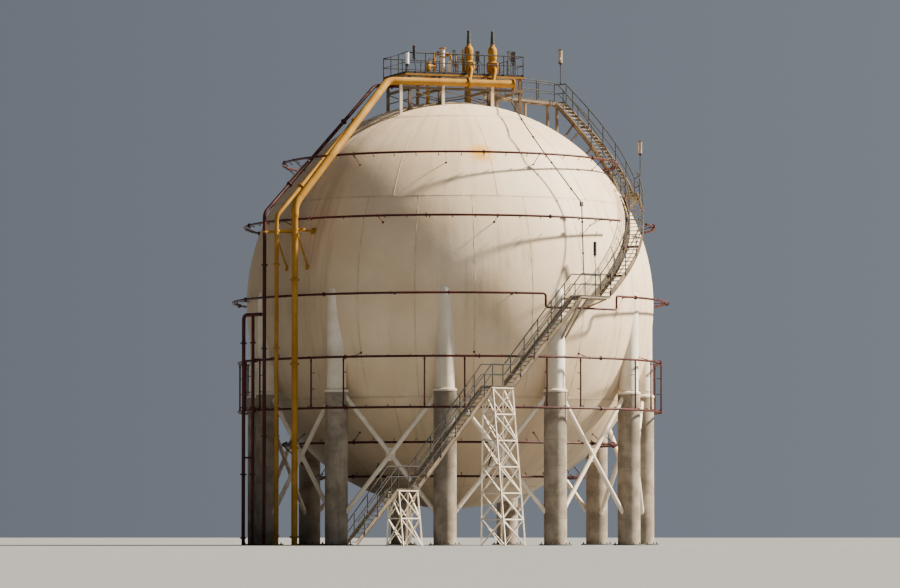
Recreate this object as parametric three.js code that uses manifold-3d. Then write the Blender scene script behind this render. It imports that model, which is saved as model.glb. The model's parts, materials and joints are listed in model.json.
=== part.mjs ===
// Spherical gas tank: a welded sphere on eleven tubular legs, with cross braces, red spray rings,
// a stair that winds down the sphere and then runs straight to the ground, and the roof platform
// with its relief valves and vent pipe.
//
// Units are millimetres, +Z up. While the pieces are made, the tank's axis is x = y = 0 and the
// ground is height 0. A bearing is in degrees round the tank, 0 at the front (-Y), growing towards +X.
// A level is a height measured from the centre of the sphere.

import * as THREE from "three";
import { mergeVertices } from "three/addons/utils/BufferGeometryUtils.js";
import Module from "manifold-3d";

const wasm = await Module();
wasm.setup();

// Sphere
const TANK_RADIUS = 10000;
const CENTRE_HEIGHT = 11800;
const SHELL_THICKNESS = 150;
const CAP_LATITUDE = 63.5;
const COURSE_LATITUDE = 28.5;
const ROUND_STEPS = 33;

// Legs and braces
const LEG_COUNT = 11;
const FIRST_LEG_BEARING = -1.4;
const LEG_CIRCLE = 9600;
const LEG_RADIUS = 470;
const LEG_TOP = CENTRE_HEIGHT + 700;
const LEG_DOME = 580;
const LEG_SIDES = 10;
const JACKET_RADIUS = 550;
const JACKET_TOP = 7300;
const BASE_PLATE_RADIUS = 800;
const BASE_PLATE_THICKNESS = 60;
const BRACE_SIZE = 220;
const BRACE_TOP = 7620;
const BRACE_BOTTOM = 1000;

// Spray rings
const SPRAY_SIZE = 114;
const RING_STEPS = 22;
const HANGER_SIZE = 30;
const DROP_SIZE = 50;
const TOP_RING = { radius: 8250, level: 6900 };
const UPPER_RING = { radius: 10110, level: 3760 };
const MIDDLE_RING = { radius: 10680, level: 70 };
const LEG_RING = { radius: 10400, level: -2900 };
const LEG_RING_DROP = 2400;
const DROP_BEARING = 5.2;
const LOWER_RING = { radius: 8250, level: -6900 };
const BOTTOM_RING = { radius: 6600, level: -8500 };
const UPPER_RING_GAP = { from: 53.8, to: 70.2 };
const MIDDLE_RING_DIP = { from: 25, to: 48, depth: 650 };

// Stair
const STAIR_WIDTH = 760;
const RISER = 200;
const TREAD_THICKNESS = 40;
const TREAD_LAP = 0.06;
const STRINGER_WIDTH = 50;
const STRINGER_HEIGHT = 300;
const STRINGER_DROP = 120;
const DECK_THICKNESS = 120;
const RAIL_HEIGHT = 1040;
const RAIL_SIZE = 50;
const RAIL_POST_SIZE = 44;
const POST_SPACING = 2000;
const HEAD_BEARING = 139;
const HEAD_RADIUS = 8200;
const HEAD_LEVEL = 10600;
const LANDING_1 = { from: 102, to: 77, level: 5400 };
const TANGENT_BEARING = 42;
const TANGENT_DISTANCE = 10600;
const SHELL_CLEARANCE = 190;
const LANDING_2 = { from: 0, to: 1850, height: CENTRE_HEIGHT };
const LANDING_3 = { from: 6200, to: 7600, height: 7400 };
const LANDING_4 = { from: 12100, to: 13400, height: 2600 };
const STAIR_FOOT = 15850;

// Roof platform and walkway
const PLATFORM_TURN = 20;
const PLATFORM = { left: -3000, right: 3200, front: -1900, back: 1500, level: 11200 };
const PLATFORM_DECK = 80;
const FRAME_LEVEL = 10450;
const FRAME_LINES = [-2750, -1200, 1365, 3000];
const FRAME_BACK = 1400;
const HEADER_LINE = -2300;
const HEADER_POSTS = [-3380, -1200, 1365];
const VALVE_LINE = -1500;
const RELIEF_VALVES = [434, 1677];
const VAPOUR_VALVE = -1700;
const POST_SIZE = 140;
const WALKWAY_WIDTH = 850;
const WALKWAY_OUTER = HEAD_RADIUS + 900;
const WALKWAY_POSTS = [5900, 8400];
const STEPS_TOP = 3200;
const STEP_GOING = 240;
const STEP_COUNT = 3;
const WALKWAY_INNER = STEPS_TOP + (STEP_COUNT - 1) * STEP_GOING;

// Pipes
const PIPE_SIDES = 8;
const HEADER_RADIUS = 190;
const DOWNCOMER_RADIUS = 150;
const HEADER_LEVEL = 10780;
const SIDE_PIPE_LEVEL = 10820;
const RACK_START = new THREE.Vector2(-7370, -8100);
const RACK_DIRECTION = new THREE.Vector2(-0.67, 0.742).normalize();
const GUIDE_LEVEL = 3200;

// Fits
const FIT_GAP = 0.3;
const WELD = 1e-3;
const UP = new THREE.Vector3(0, 0, 1);
const radians = THREE.MathUtils.degToRad;
const lerp = THREE.MathUtils.lerp;

// Places

function at(x, y, z) {
  return new THREE.Vector3(x, y, z);
}

function polar(bearing, radius, height) {
  const turn = radians(bearing);
  return at(radius * Math.sin(turn), -radius * Math.cos(turn), height);
}

// A point beside the tank on the straight stair's grid: distance out from the axis, and run
// along the stair's direction.
function onTangent(run, distance, height) {
  const turn = radians(TANGENT_BEARING);
  const out = at(Math.sin(turn), -Math.cos(turn), 0);
  const along = at(-Math.cos(turn), -Math.sin(turn), 0);
  return out.multiplyScalar(distance).addScaledVector(along, run).setZ(height);
}

// A point on the roof platform's grid, which is turned from the front of the tank.
function onPlatform(u, v, level) {
  const turn = radians(PLATFORM_TURN);
  const x = u * Math.cos(turn) - v * Math.sin(turn);
  const y = u * Math.sin(turn) + v * Math.cos(turn);
  return at(x, y, CENTRE_HEIGHT + level);
}

// A point on the walkway: radius out along the stair head's bearing, and offset to its left side.
function onWalkway(radius, offset, level) {
  const turn = radians(HEAD_BEARING);
  const side = at(Math.cos(turn), Math.sin(turn), 0);
  return polar(HEAD_BEARING, radius, CENTRE_HEIGHT + level).addScaledVector(side, offset);
}

function onRack(run, height) {
  const place = RACK_START.clone().addScaledVector(RACK_DIRECTION, run);
  return at(place.x, place.y, height);
}

function shellLevel(radius) {
  return Math.sqrt(TANK_RADIUS ** 2 - radius ** 2);
}

// Bodies

function solid(geometry) {
  const bare = geometry.clone();
  bare.deleteAttribute("normal");
  bare.deleteAttribute("uv");
  const merged = mergeVertices(bare, WELD);
  return new wasm.Manifold(
    new wasm.Mesh({
      numProp: 3,
      vertProperties: new Float32Array(merged.attributes.position.array),
      triVerts: new Uint32Array(merged.index.array),
    }),
  );
}

function geometryOf(body) {
  const { vertProperties, triVerts } = body.getMesh();
  const geometry = new THREE.BufferGeometry();
  geometry.setAttribute("position", new THREE.BufferAttribute(vertProperties, 3));
  geometry.setIndex(new THREE.BufferAttribute(triVerts, 1));
  return geometry;
}

// The same body moved by a small step, to cut a fitting gap beside it.
function moved(body, step) {
  return solid(geometryOf(body).translate(step.x, step.y, step.z));
}

function join(...bodies) {
  return bodies.flat(Infinity).reduce((whole, body) => whole.add(body));
}

function cut(body, ...tools) {
  return tools.flat(Infinity).reduce((left, tool) => left.subtract(tool), body);
}

// Closed body through a row of matching outlines, each counterclockwise seen from its far side.
function loft(outlines, closed = false) {
  const sides = outlines[0].length;
  const rows = outlines.length;
  const faces = [];
  const bays = closed ? rows : rows - 1;
  for (let i = 0; i < bays; i++) {
    const near = i * sides;
    const far = ((i + 1) % rows) * sides;
    for (let j = 0; j < sides; j++) {
      const k = (j + 1) % sides;
      faces.push(near + j, near + k, far + k, near + j, far + k, far + j);
    }
  }
  const last = (rows - 1) * sides;
  for (let j = 1; j + 1 < sides && !closed; j++) {
    faces.push(0, j + 1, j, last, last + j, last + j + 1);
  }
  const geometry = new THREE.BufferGeometry().setFromPoints(outlines.flat());
  geometry.setIndex(faces);
  return solid(geometry);
}

// Turned body about a vertical line; the profile is [radius, height] pairs, read upwards outside.
function turned(profile, sides, place = at(0, 0, 0), startBearing = 0) {
  const points = profile.map(([radius, height]) => new THREE.Vector2(radius, height));
  const geometry = new THREE.LatheGeometry(points, sides, radians(startBearing));
  geometry.rotateX(Math.PI / 2);
  geometry.translate(place.x, place.y, place.z);
  return solid(geometry);
}

function box(centre, width, depth, height, turn = 0) {
  const geometry = new THREE.BoxGeometry(width, depth, height);
  geometry.rotateZ(turn);
  geometry.translate(centre.x, centre.y, centre.z);
  return solid(geometry);
}

// Square bar or round rod between two points.
function bar(from, to, size, sides = 4) {
  const length = from.distanceTo(to);
  const radius = sides === 4 ? size * Math.SQRT1_2 : size / 2;
  const geometry = new THREE.CylinderGeometry(radius, radius, length, sides);
  if (sides === 4) geometry.rotateY(Math.PI / 4);
  const along = to.clone().sub(from).normalize();
  geometry.applyQuaternion(new THREE.Quaternion().setFromUnitVectors(at(0, 1, 0), along));
  const middle = from.clone().lerp(to, 0.5);
  geometry.translate(middle.x, middle.y, middle.z);
  return solid(geometry);
}

// Upright flat strip along a path, mitred at its corners.
function strip(points, width, height) {
  const heading = (from, to) => to.clone().sub(from).setZ(0).normalize();
  const last = points.length - 1;
  const outlines = points.map((point, i) => {
    const before = heading(points[Math.max(i - 1, 0)], points[Math.max(i, 1)]);
    const after = heading(points[Math.min(i, last - 1)], points[Math.min(i + 1, last)]);
    const along = before.clone().add(after).normalize();
    const side = along.clone().cross(UP).multiplyScalar(width / 2 / along.dot(after));
    const rise = at(0, 0, height / 2);
    return [
      point.clone().sub(side).sub(rise),
      point.clone().sub(side).add(rise),
      point.clone().add(side).add(rise),
      point.clone().add(side).sub(rise),
    ];
  });
  return loft(outlines);
}

// Round pipe along a path, mitred at its corners. radius is one number, or one for each point.
function pipe(points, radius, { sides = PIPE_SIDES, closed = false, across = null } = {}) {
  const count = points.length;
  const radii = Array.isArray(radius) ? radius : points.map(() => radius);
  let lead = null;
  const outlines = points.map((point, i) => {
    const previous = closed ? points[(i + count - 1) % count] : points[Math.max(i - 1, 0)];
    const next = closed ? points[(i + 1) % count] : points[Math.min(i + 1, count - 1)];
    const after = next === point ? null : next.clone().sub(point).normalize();
    const before = previous === point ? after : point.clone().sub(previous).normalize();
    const leaving = after ?? before;
    const along = before.clone().add(leaving).normalize();
    const bend = leaving.clone().sub(before);
    const stretch = 1 / along.dot(leaving) - 1;
    if (bend.length() > WELD) bend.normalize();
    lead = across ? across(point) : (lead ?? anyPerpendicular(along));
    lead = lead.clone().addScaledVector(along, -lead.dot(along)).normalize();
    const rise = along.clone().cross(lead);
    return Array.from({ length: sides }, (unused, j) => {
      const turn = (2 * Math.PI * (j + 0.5)) / sides;
      const offset = lead.clone().multiplyScalar(Math.cos(turn));
      offset.addScaledVector(rise, Math.sin(turn));
      offset.addScaledVector(bend, offset.dot(bend) * stretch);
      return point.clone().addScaledVector(offset, radii[i]);
    });
  });
  return loft(outlines, closed);
}

function anyPerpendicular(direction) {
  const helper = Math.abs(direction.z) > 0.9 ? at(1, 0, 0) : UP;
  return helper.clone().cross(direction).normalize();
}

// The same path with each corner replaced by a short round bend.
function rounded(points, reach) {
  return points.flatMap((point, i) => {
    if (i === 0 || i === points.length - 1) return [point];
    const into = points[i - 1].clone().sub(point).setLength(reach).add(point);
    const out = points[i + 1].clone().sub(point).setLength(reach).add(point);
    const middle = into.clone().lerp(out, 0.5).lerp(point, 0.5);
    return [into, middle, out];
  });
}

// Pieces become named meshes of one group

const finishes = {
  shell: new THREE.MeshStandardMaterial({ color: 0xe6dcc9, roughness: 0.55, metalness: 0 }),
  white: new THREE.MeshStandardMaterial({ color: 0xe9e4da, roughness: 0.5, metalness: 0 }),
  red: new THREE.MeshStandardMaterial({ color: 0x6e1d1b, roughness: 0.5, metalness: 0 }),
  yellow: new THREE.MeshStandardMaterial({ color: 0xd3921f, roughness: 0.5, metalness: 0 }),
  steel: new THREE.MeshStandardMaterial({ color: 0x8d877d, roughness: 0.6, metalness: 0.6 }),
};
const tank = new THREE.Group();

function place(name, body, finish) {
  const faceted = geometryOf(body).toNonIndexed();
  faceted.computeVertexNormals();
  const mesh = new THREE.Mesh(faceted, finish);
  mesh.name = name;
  tank.add(mesh);
}

// Shell courses: two caps and three bands, each a wall of one thickness. The facets are centred
// on the legs.

const SHELL_START = FIRST_LEG_BEARING + 180 / ROUND_STEPS;
const COURSES = [
  { name: "shell_bottom_cap", from: -90, to: -CAP_LATITUDE, steps: 2 },
  { name: "shell_lower_course", from: -CAP_LATITUDE, to: -COURSE_LATITUDE, steps: 3 },
  { name: "shell_equator_course", from: -COURSE_LATITUDE, to: COURSE_LATITUDE, steps: 5 },
  { name: "shell_upper_course", from: COURSE_LATITUDE, to: CAP_LATITUDE, steps: 3 },
  { name: "shell_top_cap", from: CAP_LATITUDE, to: 90, steps: 2 },
];

function arc(radius, from, to, steps) {
  return Array.from({ length: steps + 1 }, (unused, i) => {
    const latitude = lerp(from, to, i / steps);
    const reach = Math.abs(latitude) === 90 ? 0 : radius * Math.cos(radians(latitude));
    return [reach, radius * Math.sin(radians(latitude))];
  });
}

const sphereCentre = at(0, 0, CENTRE_HEIGHT);
const seam = THREE.MathUtils.radToDeg(FIT_GAP / TANK_RADIUS / 2);
for (const { name, from, to, steps } of COURSES) {
  const low = from === -90 ? from : from + seam;
  const high = to === 90 ? to : to - seam;
  const innerSteps = Math.ceil(steps / 2);
  const outside = arc(TANK_RADIUS, low, high, steps);
  const inside = arc(TANK_RADIUS - SHELL_THICKNESS, high, low, innerSteps);
  const profile = to === 90 ? [...inside, ...outside] : [...outside, ...inside];
  if (from !== -90 && to !== 90) profile.push(outside[0]);
  place(name, turned(profile, ROUND_STEPS, sphereCentre, SHELL_START), finishes.shell);
}

// The outside of the sphere with a hair's gap round it, to fit other pieces to it.
const envelopeRadius = TANK_RADIUS + FIT_GAP;
const envelopeProfile = COURSES.flatMap(({ from, to, steps }, i) =>
  arc(envelopeRadius, from, to, steps).slice(i === 0 ? 0 : 1),
);
const shellEnvelope = turned(envelopeProfile, ROUND_STEPS, sphereCentre, SHELL_START);

// Legs: a steel tube with a domed end, cut to the sphere, inside a concrete jacket that starts
// below the weld and stands on a base plate.

const legBearings = Array.from(
  { length: LEG_COUNT },
  (unused, i) => FIRST_LEG_BEARING + (360 / LEG_COUNT) * i,
);
const numbered = (name, i) => `${name}_${String(i + 1).padStart(2, "0")}`;

function legBody(bearing, grow = 0) {
  const profile = [
    [0, 0],
    [BASE_PLATE_RADIUS + grow, 0],
    [BASE_PLATE_RADIUS + grow, BASE_PLATE_THICKNESS + grow],
    [JACKET_RADIUS + grow, BASE_PLATE_THICKNESS + grow],
    [JACKET_RADIUS + grow, JACKET_TOP + grow],
    [LEG_RADIUS + grow, JACKET_TOP + grow],
    [LEG_RADIUS + grow, LEG_TOP - LEG_DOME],
    [LEG_RADIUS * 0.8 + grow, LEG_TOP - LEG_DOME * 0.4],
    [0, LEG_TOP + grow],
  ];
  const facing = bearing + 180 / LEG_SIDES;
  return turned(profile, LEG_SIDES, polar(bearing, LEG_CIRCLE, 0), facing);
}

legBearings.forEach((bearing, i) => {
  place(numbered("leg", i), cut(legBody(bearing), shellEnvelope), finishes.white);
});

// Cross braces: two tubes in each bay, joined where they cross.

legBearings.forEach((bearing, i) => {
  const next = bearing + 360 / LEG_COUNT;
  const facing = () => polar((bearing + next) / 2, 1, 0);
  const tube = (from, to) =>
    pipe(
      [polar(bearing, LEG_CIRCLE, from), polar(next, LEG_CIRCLE, to)],
      BRACE_SIZE * Math.SQRT1_2,
      { sides: 4, across: facing },
    );
  const tubes = join(tube(BRACE_TOP, BRACE_BOTTOM), tube(BRACE_BOTTOM, BRACE_TOP));
  const grow = FIT_GAP / Math.cos(Math.PI / LEG_SIDES);
  const fitted = cut(tubes, legBody(bearing, grow), legBody(next, grow));
  place(numbered("cross_brace", i), fitted, finishes.white);
});

// Spray rings: red pipes round the sphere, each held off the shell by hangers at the middle of
// every second step.

const RING_START = FIRST_LEG_BEARING + 180 / RING_STEPS;
const HALF_STEP = 180 / RING_STEPS;

function ringPath({ radius, level }, from, to, steps) {
  return Array.from({ length: steps + 1 }, (unused, i) =>
    polar(lerp(from, to, i / steps), radius, CENTRE_HEIGHT + level),
  );
}

function hangers({ radius, level }, first, count) {
  return Array.from({ length: count }, (unused, i) => {
    const bearing = first + 4 * HALF_STEP * i;
    const reach = radius * Math.cos(radians(HALF_STEP));
    const start = polar(bearing, reach, CENTRE_HEIGHT + level);
    const foot = start.clone().sub(sphereCentre).setLength(TANK_RADIUS - SHELL_THICKNESS);
    return pipe([start, foot.add(sphereCentre)], HANGER_SIZE * Math.SQRT1_2, { sides: 4 });
  });
}

const fromCentre = (point) => point.clone().sub(sphereCentre).normalize();
const upwards = () => UP;

function sprayPipe(points, closed = false, across = fromCentre) {
  return pipe(points, SPRAY_SIZE * Math.SQRT1_2, { sides: 4, closed, across });
}

function fullRing(ring, start = RING_START, across = fromCentre) {
  const path = ringPath(ring, start, start + 360, RING_STEPS);
  return sprayPipe(path.slice(0, -1), true, across);
}

const firstHanger = FIRST_LEG_BEARING;
const topRing = join(fullRing(TOP_RING), hangers(TOP_RING, firstHanger, LEG_COUNT));
place("spray_ring_top", cut(topRing, shellEnvelope), finishes.red);

const upperArc = ringPath(
  UPPER_RING,
  UPPER_RING_GAP.to,
  360 + UPPER_RING_GAP.from,
  RING_STEPS - 1,
);
const upperHangers = hangers(UPPER_RING, UPPER_RING_GAP.to + HALF_STEP, LEG_COUNT);
const upperRing = join(sprayPipe(upperArc), upperHangers);
place("spray_ring_upper", cut(upperRing, shellEnvelope), finishes.red);

const dippedRing = { ...MIDDLE_RING, level: MIDDLE_RING.level - MIDDLE_RING_DIP.depth };
const dip = { from: 360 + MIDDLE_RING_DIP.from, to: 360 + MIDDLE_RING_DIP.to };
const middlePath = [
  ...ringPath(MIDDLE_RING, MIDDLE_RING_DIP.to, dip.from, RING_STEPS - 1),
  ...ringPath(dippedRing, dip.from, dip.to, 2),
];
const middleStep = (dip.from - MIDDLE_RING_DIP.to) / (RING_STEPS - 1);
const middleHangers = Array.from({ length: LEG_COUNT }, (unused, i) =>
  hangers(MIDDLE_RING, MIDDLE_RING_DIP.to + middleStep * (2 * i + 0.5), 1),
);
const middleRing = join(sprayPipe(middlePath, true), middleHangers);
place("spray_ring_middle", cut(middleRing, shellEnvelope), finishes.red);

// The ring at the legs hangs a second one on a pair of drops beside each leg.
const hungRing = { ...LEG_RING, level: LEG_RING.level - LEG_RING_DROP };
const dropReach =
  (LEG_RING.radius * Math.cos(radians(HALF_STEP))) / Math.cos(radians(HALF_STEP - DROP_BEARING));
const drops = legBearings.flatMap((bearing) =>
  [-DROP_BEARING, DROP_BEARING].map((offset) => {
    const top = polar(bearing + offset, dropReach, CENTRE_HEIGHT + LEG_RING.level);
    const foot = top.clone().setZ(CENTRE_HEIGHT + hungRing.level);
    const side = offset < 0 ? -HALF_STEP : HALF_STEP;
    const facing = () => polar(bearing + side, 1, 0);
    return pipe([top, foot], DROP_SIZE * Math.SQRT1_2, { sides: 4, across: facing });
  }),
);
const legRings = join(
  fullRing(LEG_RING, FIRST_LEG_BEARING, upwards),
  fullRing(hungRing, FIRST_LEG_BEARING, upwards),
  drops,
  hangers(LEG_RING, FIRST_LEG_BEARING + HALF_STEP, LEG_COUNT),
);
const legRing = cut(legRings, shellEnvelope);
place("spray_rings_at_legs", legRing, finishes.red);

const ringLinks = [0, 4, 8].map((i) => {
  const bearing = firstHanger + 2 * HALF_STEP + 4 * HALF_STEP * i;
  const reach = Math.cos(radians(HALF_STEP));
  return pipe(
    [
      polar(bearing, LOWER_RING.radius * reach, CENTRE_HEIGHT + LOWER_RING.level),
      polar(bearing, BOTTOM_RING.radius * reach, CENTRE_HEIGHT + BOTTOM_RING.level),
    ],
    HANGER_SIZE,
    { sides: 4 },
  );
});
const lowerRings = join(
  fullRing(LOWER_RING),
  fullRing(BOTTOM_RING),
  ringLinks,
  hangers(LOWER_RING, firstHanger, LEG_COUNT),
  hangers(BOTTOM_RING, firstHanger, LEG_COUNT),
);
place("spray_rings_lower", cut(lowerRings, shellEnvelope), finishes.red);

// Stair runs: each gives a point at a share of its run, across its width, at its own pitch line.

const clearRadius = (height) => {
  const share = (CENTRE_HEIGHT + LANDING_1.level - height) / LANDING_1.level;
  const spare = lerp(SHELL_CLEARANCE, TANGENT_DISTANCE - TANK_RADIUS, share ** 2);
  return Math.sqrt((TANK_RADIUS + spare) ** 2 - (height - CENTRE_HEIGHT) ** 2);
};
const landing1Height = CENTRE_HEIGHT + LANDING_1.level;
const landing1Radius = clearRadius(landing1Height);

const windingRun = (from, to, innerRadius) => ({
  drop: from.height - to.height,
  point(share, across) {
    const height = lerp(from.height, to.height, share);
    return polar(lerp(from.bearing, to.bearing, share), innerRadius(height, share) + across, height);
  },
});

const straightRun = (from, to) => ({
  drop: from.height - to.height,
  point(share, across) {
    const height = lerp(from.height, to.height, share);
    return onTangent(lerp(from.run, to.run, share), TANGENT_DISTANCE + across, height);
  },
});

// A flight's pitch line ends one riser above the landing it comes down to.
const head = { bearing: HEAD_BEARING, height: CENTRE_HEIGHT + HEAD_LEVEL };
const landing1Start = { bearing: LANDING_1.from, height: landing1Height };
const landing1End = { bearing: LANDING_1.to, height: landing1Height };
const stepAbove = (spot) => ({ ...spot, height: spot.height + RISER });
const tangentStart = { bearing: TANGENT_BEARING, height: LANDING_2.height };
const flight1 = windingRun(head, stepAbove(landing1Start), (height, share) =>
  lerp(HEAD_RADIUS, landing1Radius, share),
);
const landing1Run = windingRun(landing1Start, landing1End, () => landing1Radius);
const flight2 = windingRun(landing1End, stepAbove(tangentStart), clearRadius);
const landingRun = ({ from, to, height }) =>
  straightRun({ run: from + FIT_GAP, height }, { run: to - FIT_GAP, height });
const between = (upper, lower) =>
  straightRun(
    { run: upper.to + FIT_GAP, height: upper.height },
    { run: lower.from - FIT_GAP, height: lower.height + RISER },
  );
const flight3 = between(LANDING_2, LANDING_3);
const flight4 = between(LANDING_3, LANDING_4);
const flight5 = between(LANDING_4, { from: STAIR_FOOT, height: 0 });

// Points beside a run; sink lowers them along the run, from nothing at its top.
function along(run, across, count, { lift = 0, sink = 0, from = 0, to = 1 } = {}) {
  return Array.from({ length: count + 1 }, (unused, i) => {
    const share = lerp(from, to, i / count);
    const point = run.point(share, across);
    return point.setZ(point.z + lift - sink * share);
  });
}

// The space between two bearings, a hair's gap narrower on each side.
function sector(from, to) {
  const gap = THREE.MathUtils.radToDeg(FIT_GAP / TANK_RADIUS);
  const corners = (height) => [
    at(0, 0, height),
    polar(Math.min(from, to) + gap, 2 * TANK_RADIUS, height),
    polar(Math.max(from, to) - gap, 2 * TANK_RADIUS, height),
  ];
  return loft([corners(0), corners(3 * TANK_RADIUS)]);
}

// A flight's treads stand between two stringers, one riser apart. Winding flights are drawn a
// little too long and then trimmed to their sector.
function flightBody(run, bends, spare = 0) {
  const stringers = [STRINGER_WIDTH / 2, STAIR_WIDTH - STRINGER_WIDTH / 2].map((across) => {
    const path = along(run, across, bends, { lift: -STRINGER_DROP });
    if (spare > 0) {
      path.unshift(path[0].clone().lerp(path[1], -spare));
      path.push(path[bends + 1].clone().lerp(path[bends], -spare));
      path.splice(1, 1);
      path.splice(-2, 1);
    }
    return strip(path, STRINGER_WIDTH, STRINGER_HEIGHT);
  });
  const treadCount = Math.round(run.drop / RISER);
  const treads = Array.from({ length: treadCount }, (unused, i) => {
    const top = run.point((i + 1) / treadCount, 0).z;
    const front = Math.min((i + 1 + TREAD_LAP) / treadCount, 1 - TREAD_LAP / treadCount);
    const back = (i + TREAD_LAP) / treadCount;
    const corners = (height) => [
      run.point(back, STRINGER_WIDTH / 2).setZ(height),
      run.point(front, STRINGER_WIDTH / 2).setZ(height),
      run.point(front, STAIR_WIDTH - STRINGER_WIDTH / 2).setZ(height),
      run.point(back, STAIR_WIDTH - STRINGER_WIDTH / 2).setZ(height),
    ];
    return loft([corners(top - TREAD_THICKNESS), corners(top)]);
  });
  return join(stringers, treads);
}

// Arms from a winding flight's outer stringer back to the sphere.
function stairArms(run, shares) {
  return shares.map((share) => {
    const outer = run.point(share, STAIR_WIDTH - STRINGER_WIDTH / 2);
    const height = outer.z - STRINGER_DROP - STRINGER_HEIGHT / 2;
    const reach = shellLevel(Math.abs(height - CENTRE_HEIGHT)) - SHELL_THICKNESS;
    const inner = outer.clone().setZ(0).setLength(reach);
    return bar(outer.setZ(height), inner.setZ(height), 80);
  });
}

// Legs under the first flight, from each stringer towards the centre of the sphere.
function stairStruts(run, shares) {
  return shares.flatMap((share) =>
    [STRINGER_WIDTH / 2, STAIR_WIDTH - STRINGER_WIDTH / 2].map((across) => {
      const top = run.point(share, across);
      top.z -= STRINGER_DROP + STRINGER_HEIGHT / 2 - 60;
      const foot = fromCentre(top).multiplyScalar(TANK_RADIUS - SHELL_THICKNESS);
      return bar(top, foot.add(sphereCentre), 90);
    }),
  );
}

const belowGround = box(at(0, 0, -5000), 60000, 60000, 10000);
const flight1Sector = sector(HEAD_BEARING, LANDING_1.from);
const flight2Sector = sector(LANDING_1.to, TANGENT_BEARING);
const flight1Body = join(flightBody(flight1, 5, 0.05), stairStruts(flight1, [0.2, 0.45, 0.7, 0.93]));
const flight2Body = join(flightBody(flight2, 5, 0.05), stairArms(flight2, [0.22, 0.5, 0.78]));
const stair = {
  flight1: cut(flight1Body, shellEnvelope).intersect(flight1Sector),
  flight2: cut(flight2Body, shellEnvelope).intersect(flight2Sector),
  flight3: flightBody(flight3, 1),
  flight4: flightBody(flight4, 1),
  flight5: cut(flightBody(flight5, 1), belowGround),
};
place("stair_flight_1", stair.flight1, finishes.steel);
place("stair_flight_2", stair.flight2, finishes.steel);
place("stair_flight_3", stair.flight3, finishes.steel);
place("stair_flight_4", stair.flight4, finishes.steel);
place("stair_flight_5", stair.flight5, finishes.steel);

// Landings

function deckAt(run, bends, { from = 0, to = 1 } = {}) {
  const middle = along(run, STAIR_WIDTH / 2, bends, { lift: -DECK_THICKNESS / 2, from, to });
  return strip(middle, STAIR_WIDTH, DECK_THICKNESS);
}

// An arm under a deck, and a strut below it that meets the same wall lower down.
function bracket(outer, inner, drop, size) {
  const foot = inner.clone().setZ(inner.z - drop);
  return [bar(outer, inner, size), bar(outer, foot, size)];
}

const landing1Brackets = [96, 83].flatMap((bearing) => {
  const height = landing1Height - DECK_THICKNESS - 20;
  const outer = polar(bearing, landing1Radius + STAIR_WIDTH - 80, height);
  return bracket(outer, polar(bearing, landing1Radius - 400, height), 700, 80);
});
const landing1Body = join(deckAt(landing1Run, 2, { from: -0.05, to: 1.05 }), landing1Brackets);
const landing1Sector = sector(LANDING_1.from, LANDING_1.to);
stair.landing1 = cut(landing1Body, shellEnvelope).intersect(landing1Sector);
place("stair_landing_1", stair.landing1, finishes.steel);

// The second landing hangs on the leg beside it at one end, and on the sphere at the other.
const landing2Leg = legBearings[1];
const landing2Brackets = [
  { run: 200, reach: TANK_RADIUS - 100, drop: 400 },
  { run: 1420, reach: LEG_CIRCLE - 100, drop: 1900 },
  { run: 1790, reach: LEG_CIRCLE - 100, drop: 1900 },
].flatMap(({ run, reach, drop }) => {
  const height = LANDING_2.height - DECK_THICKNESS - 20;
  const outer = onTangent(run, TANGENT_DISTANCE + STAIR_WIDTH - 80, height);
  return bracket(outer, onTangent(run, reach, height), drop, 80);
});
const legGrow = FIT_GAP / Math.cos(Math.PI / LEG_SIDES);
stair.landing2 = cut(
  join(deckAt(landingRun(LANDING_2), 1), landing2Brackets),
  shellEnvelope,
  legBody(landing2Leg, legGrow),
);
place("stair_landing_2", stair.landing2, finishes.steel);

// The third and fourth landings stand on trestles: four legs, the outer pair battered, with rails
// and diagonals on each side.
function trestle({ from, to, height }, batter, stages, size) {
  const top = height - DECK_THICKNESS / 2;
  const inner = (level) => TANGENT_DISTANCE + 60 - 130 * (1 - level / height);
  const outer = (level) => TANGENT_DISTANCE + STAIR_WIDTH - 60 + batter * (1 - level / height);
  const corners = (level) => [
    onTangent(from + 60, inner(level), level),
    onTangent(from + 60, outer(level), level),
    onTangent(to - 60, outer(level), level),
    onTangent(to - 60, inner(level), level),
  ];
  const legs = corners(-size).map((foot, i) => bar(foot, corners(top)[i], size));
  const bracing = Array.from({ length: stages }, (unused, stage) => {
    const lower = corners((top * stage) / stages);
    const upper = corners((top * (stage + 1)) / stages);
    return upper.flatMap((corner, i) => {
      const j = (i + 1) % 4;
      const diagonal = stage % 2 ? [corner, lower[j]] : [upper[j], lower[i]];
      return [bar(corner, upper[j], size * 0.7), bar(diagonal[0], diagonal[1], size * 0.7)];
    });
  });
  return cut(join(legs, bracing), belowGround);
}

stair.landing3 = join(deckAt(landingRun(LANDING_3), 1), trestle(LANDING_3, 870, 3, 80));
place("stair_landing_3", stair.landing3, finishes.white);
stair.landing4 = join(deckAt(landingRun(LANDING_4), 1), trestle(LANDING_4, 330, 1, 80));
place("stair_landing_4", stair.landing4, finishes.white);

// Handrails: a top and a middle rail on posts, fixed to the outside of the stringers.

// Evenly spread posts on each length of a path: at its ends too, or only at the middle of bays.
function postsAlong(path, spacing, { atEnds = true } = {}) {
  return path.slice(1).flatMap((end, i) => {
    const start = path[i];
    const heading = Math.atan2(end.y - start.y, end.x - start.x);
    const bays = Math.max(1, Math.round(start.distanceTo(end) / spacing));
    const first = atEnds && i === 0 ? 0 : 1;
    const shift = atEnds ? 0 : -0.5;
    return Array.from({ length: bays + 1 - first }, (unused, j) => ({
      foot: start.clone().lerp(end, (j + first + shift) / bays),
      heading,
    }));
  });
}

const raised = (points, lift) => points.map((point) => point.clone().setZ(point.z + lift));

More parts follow.
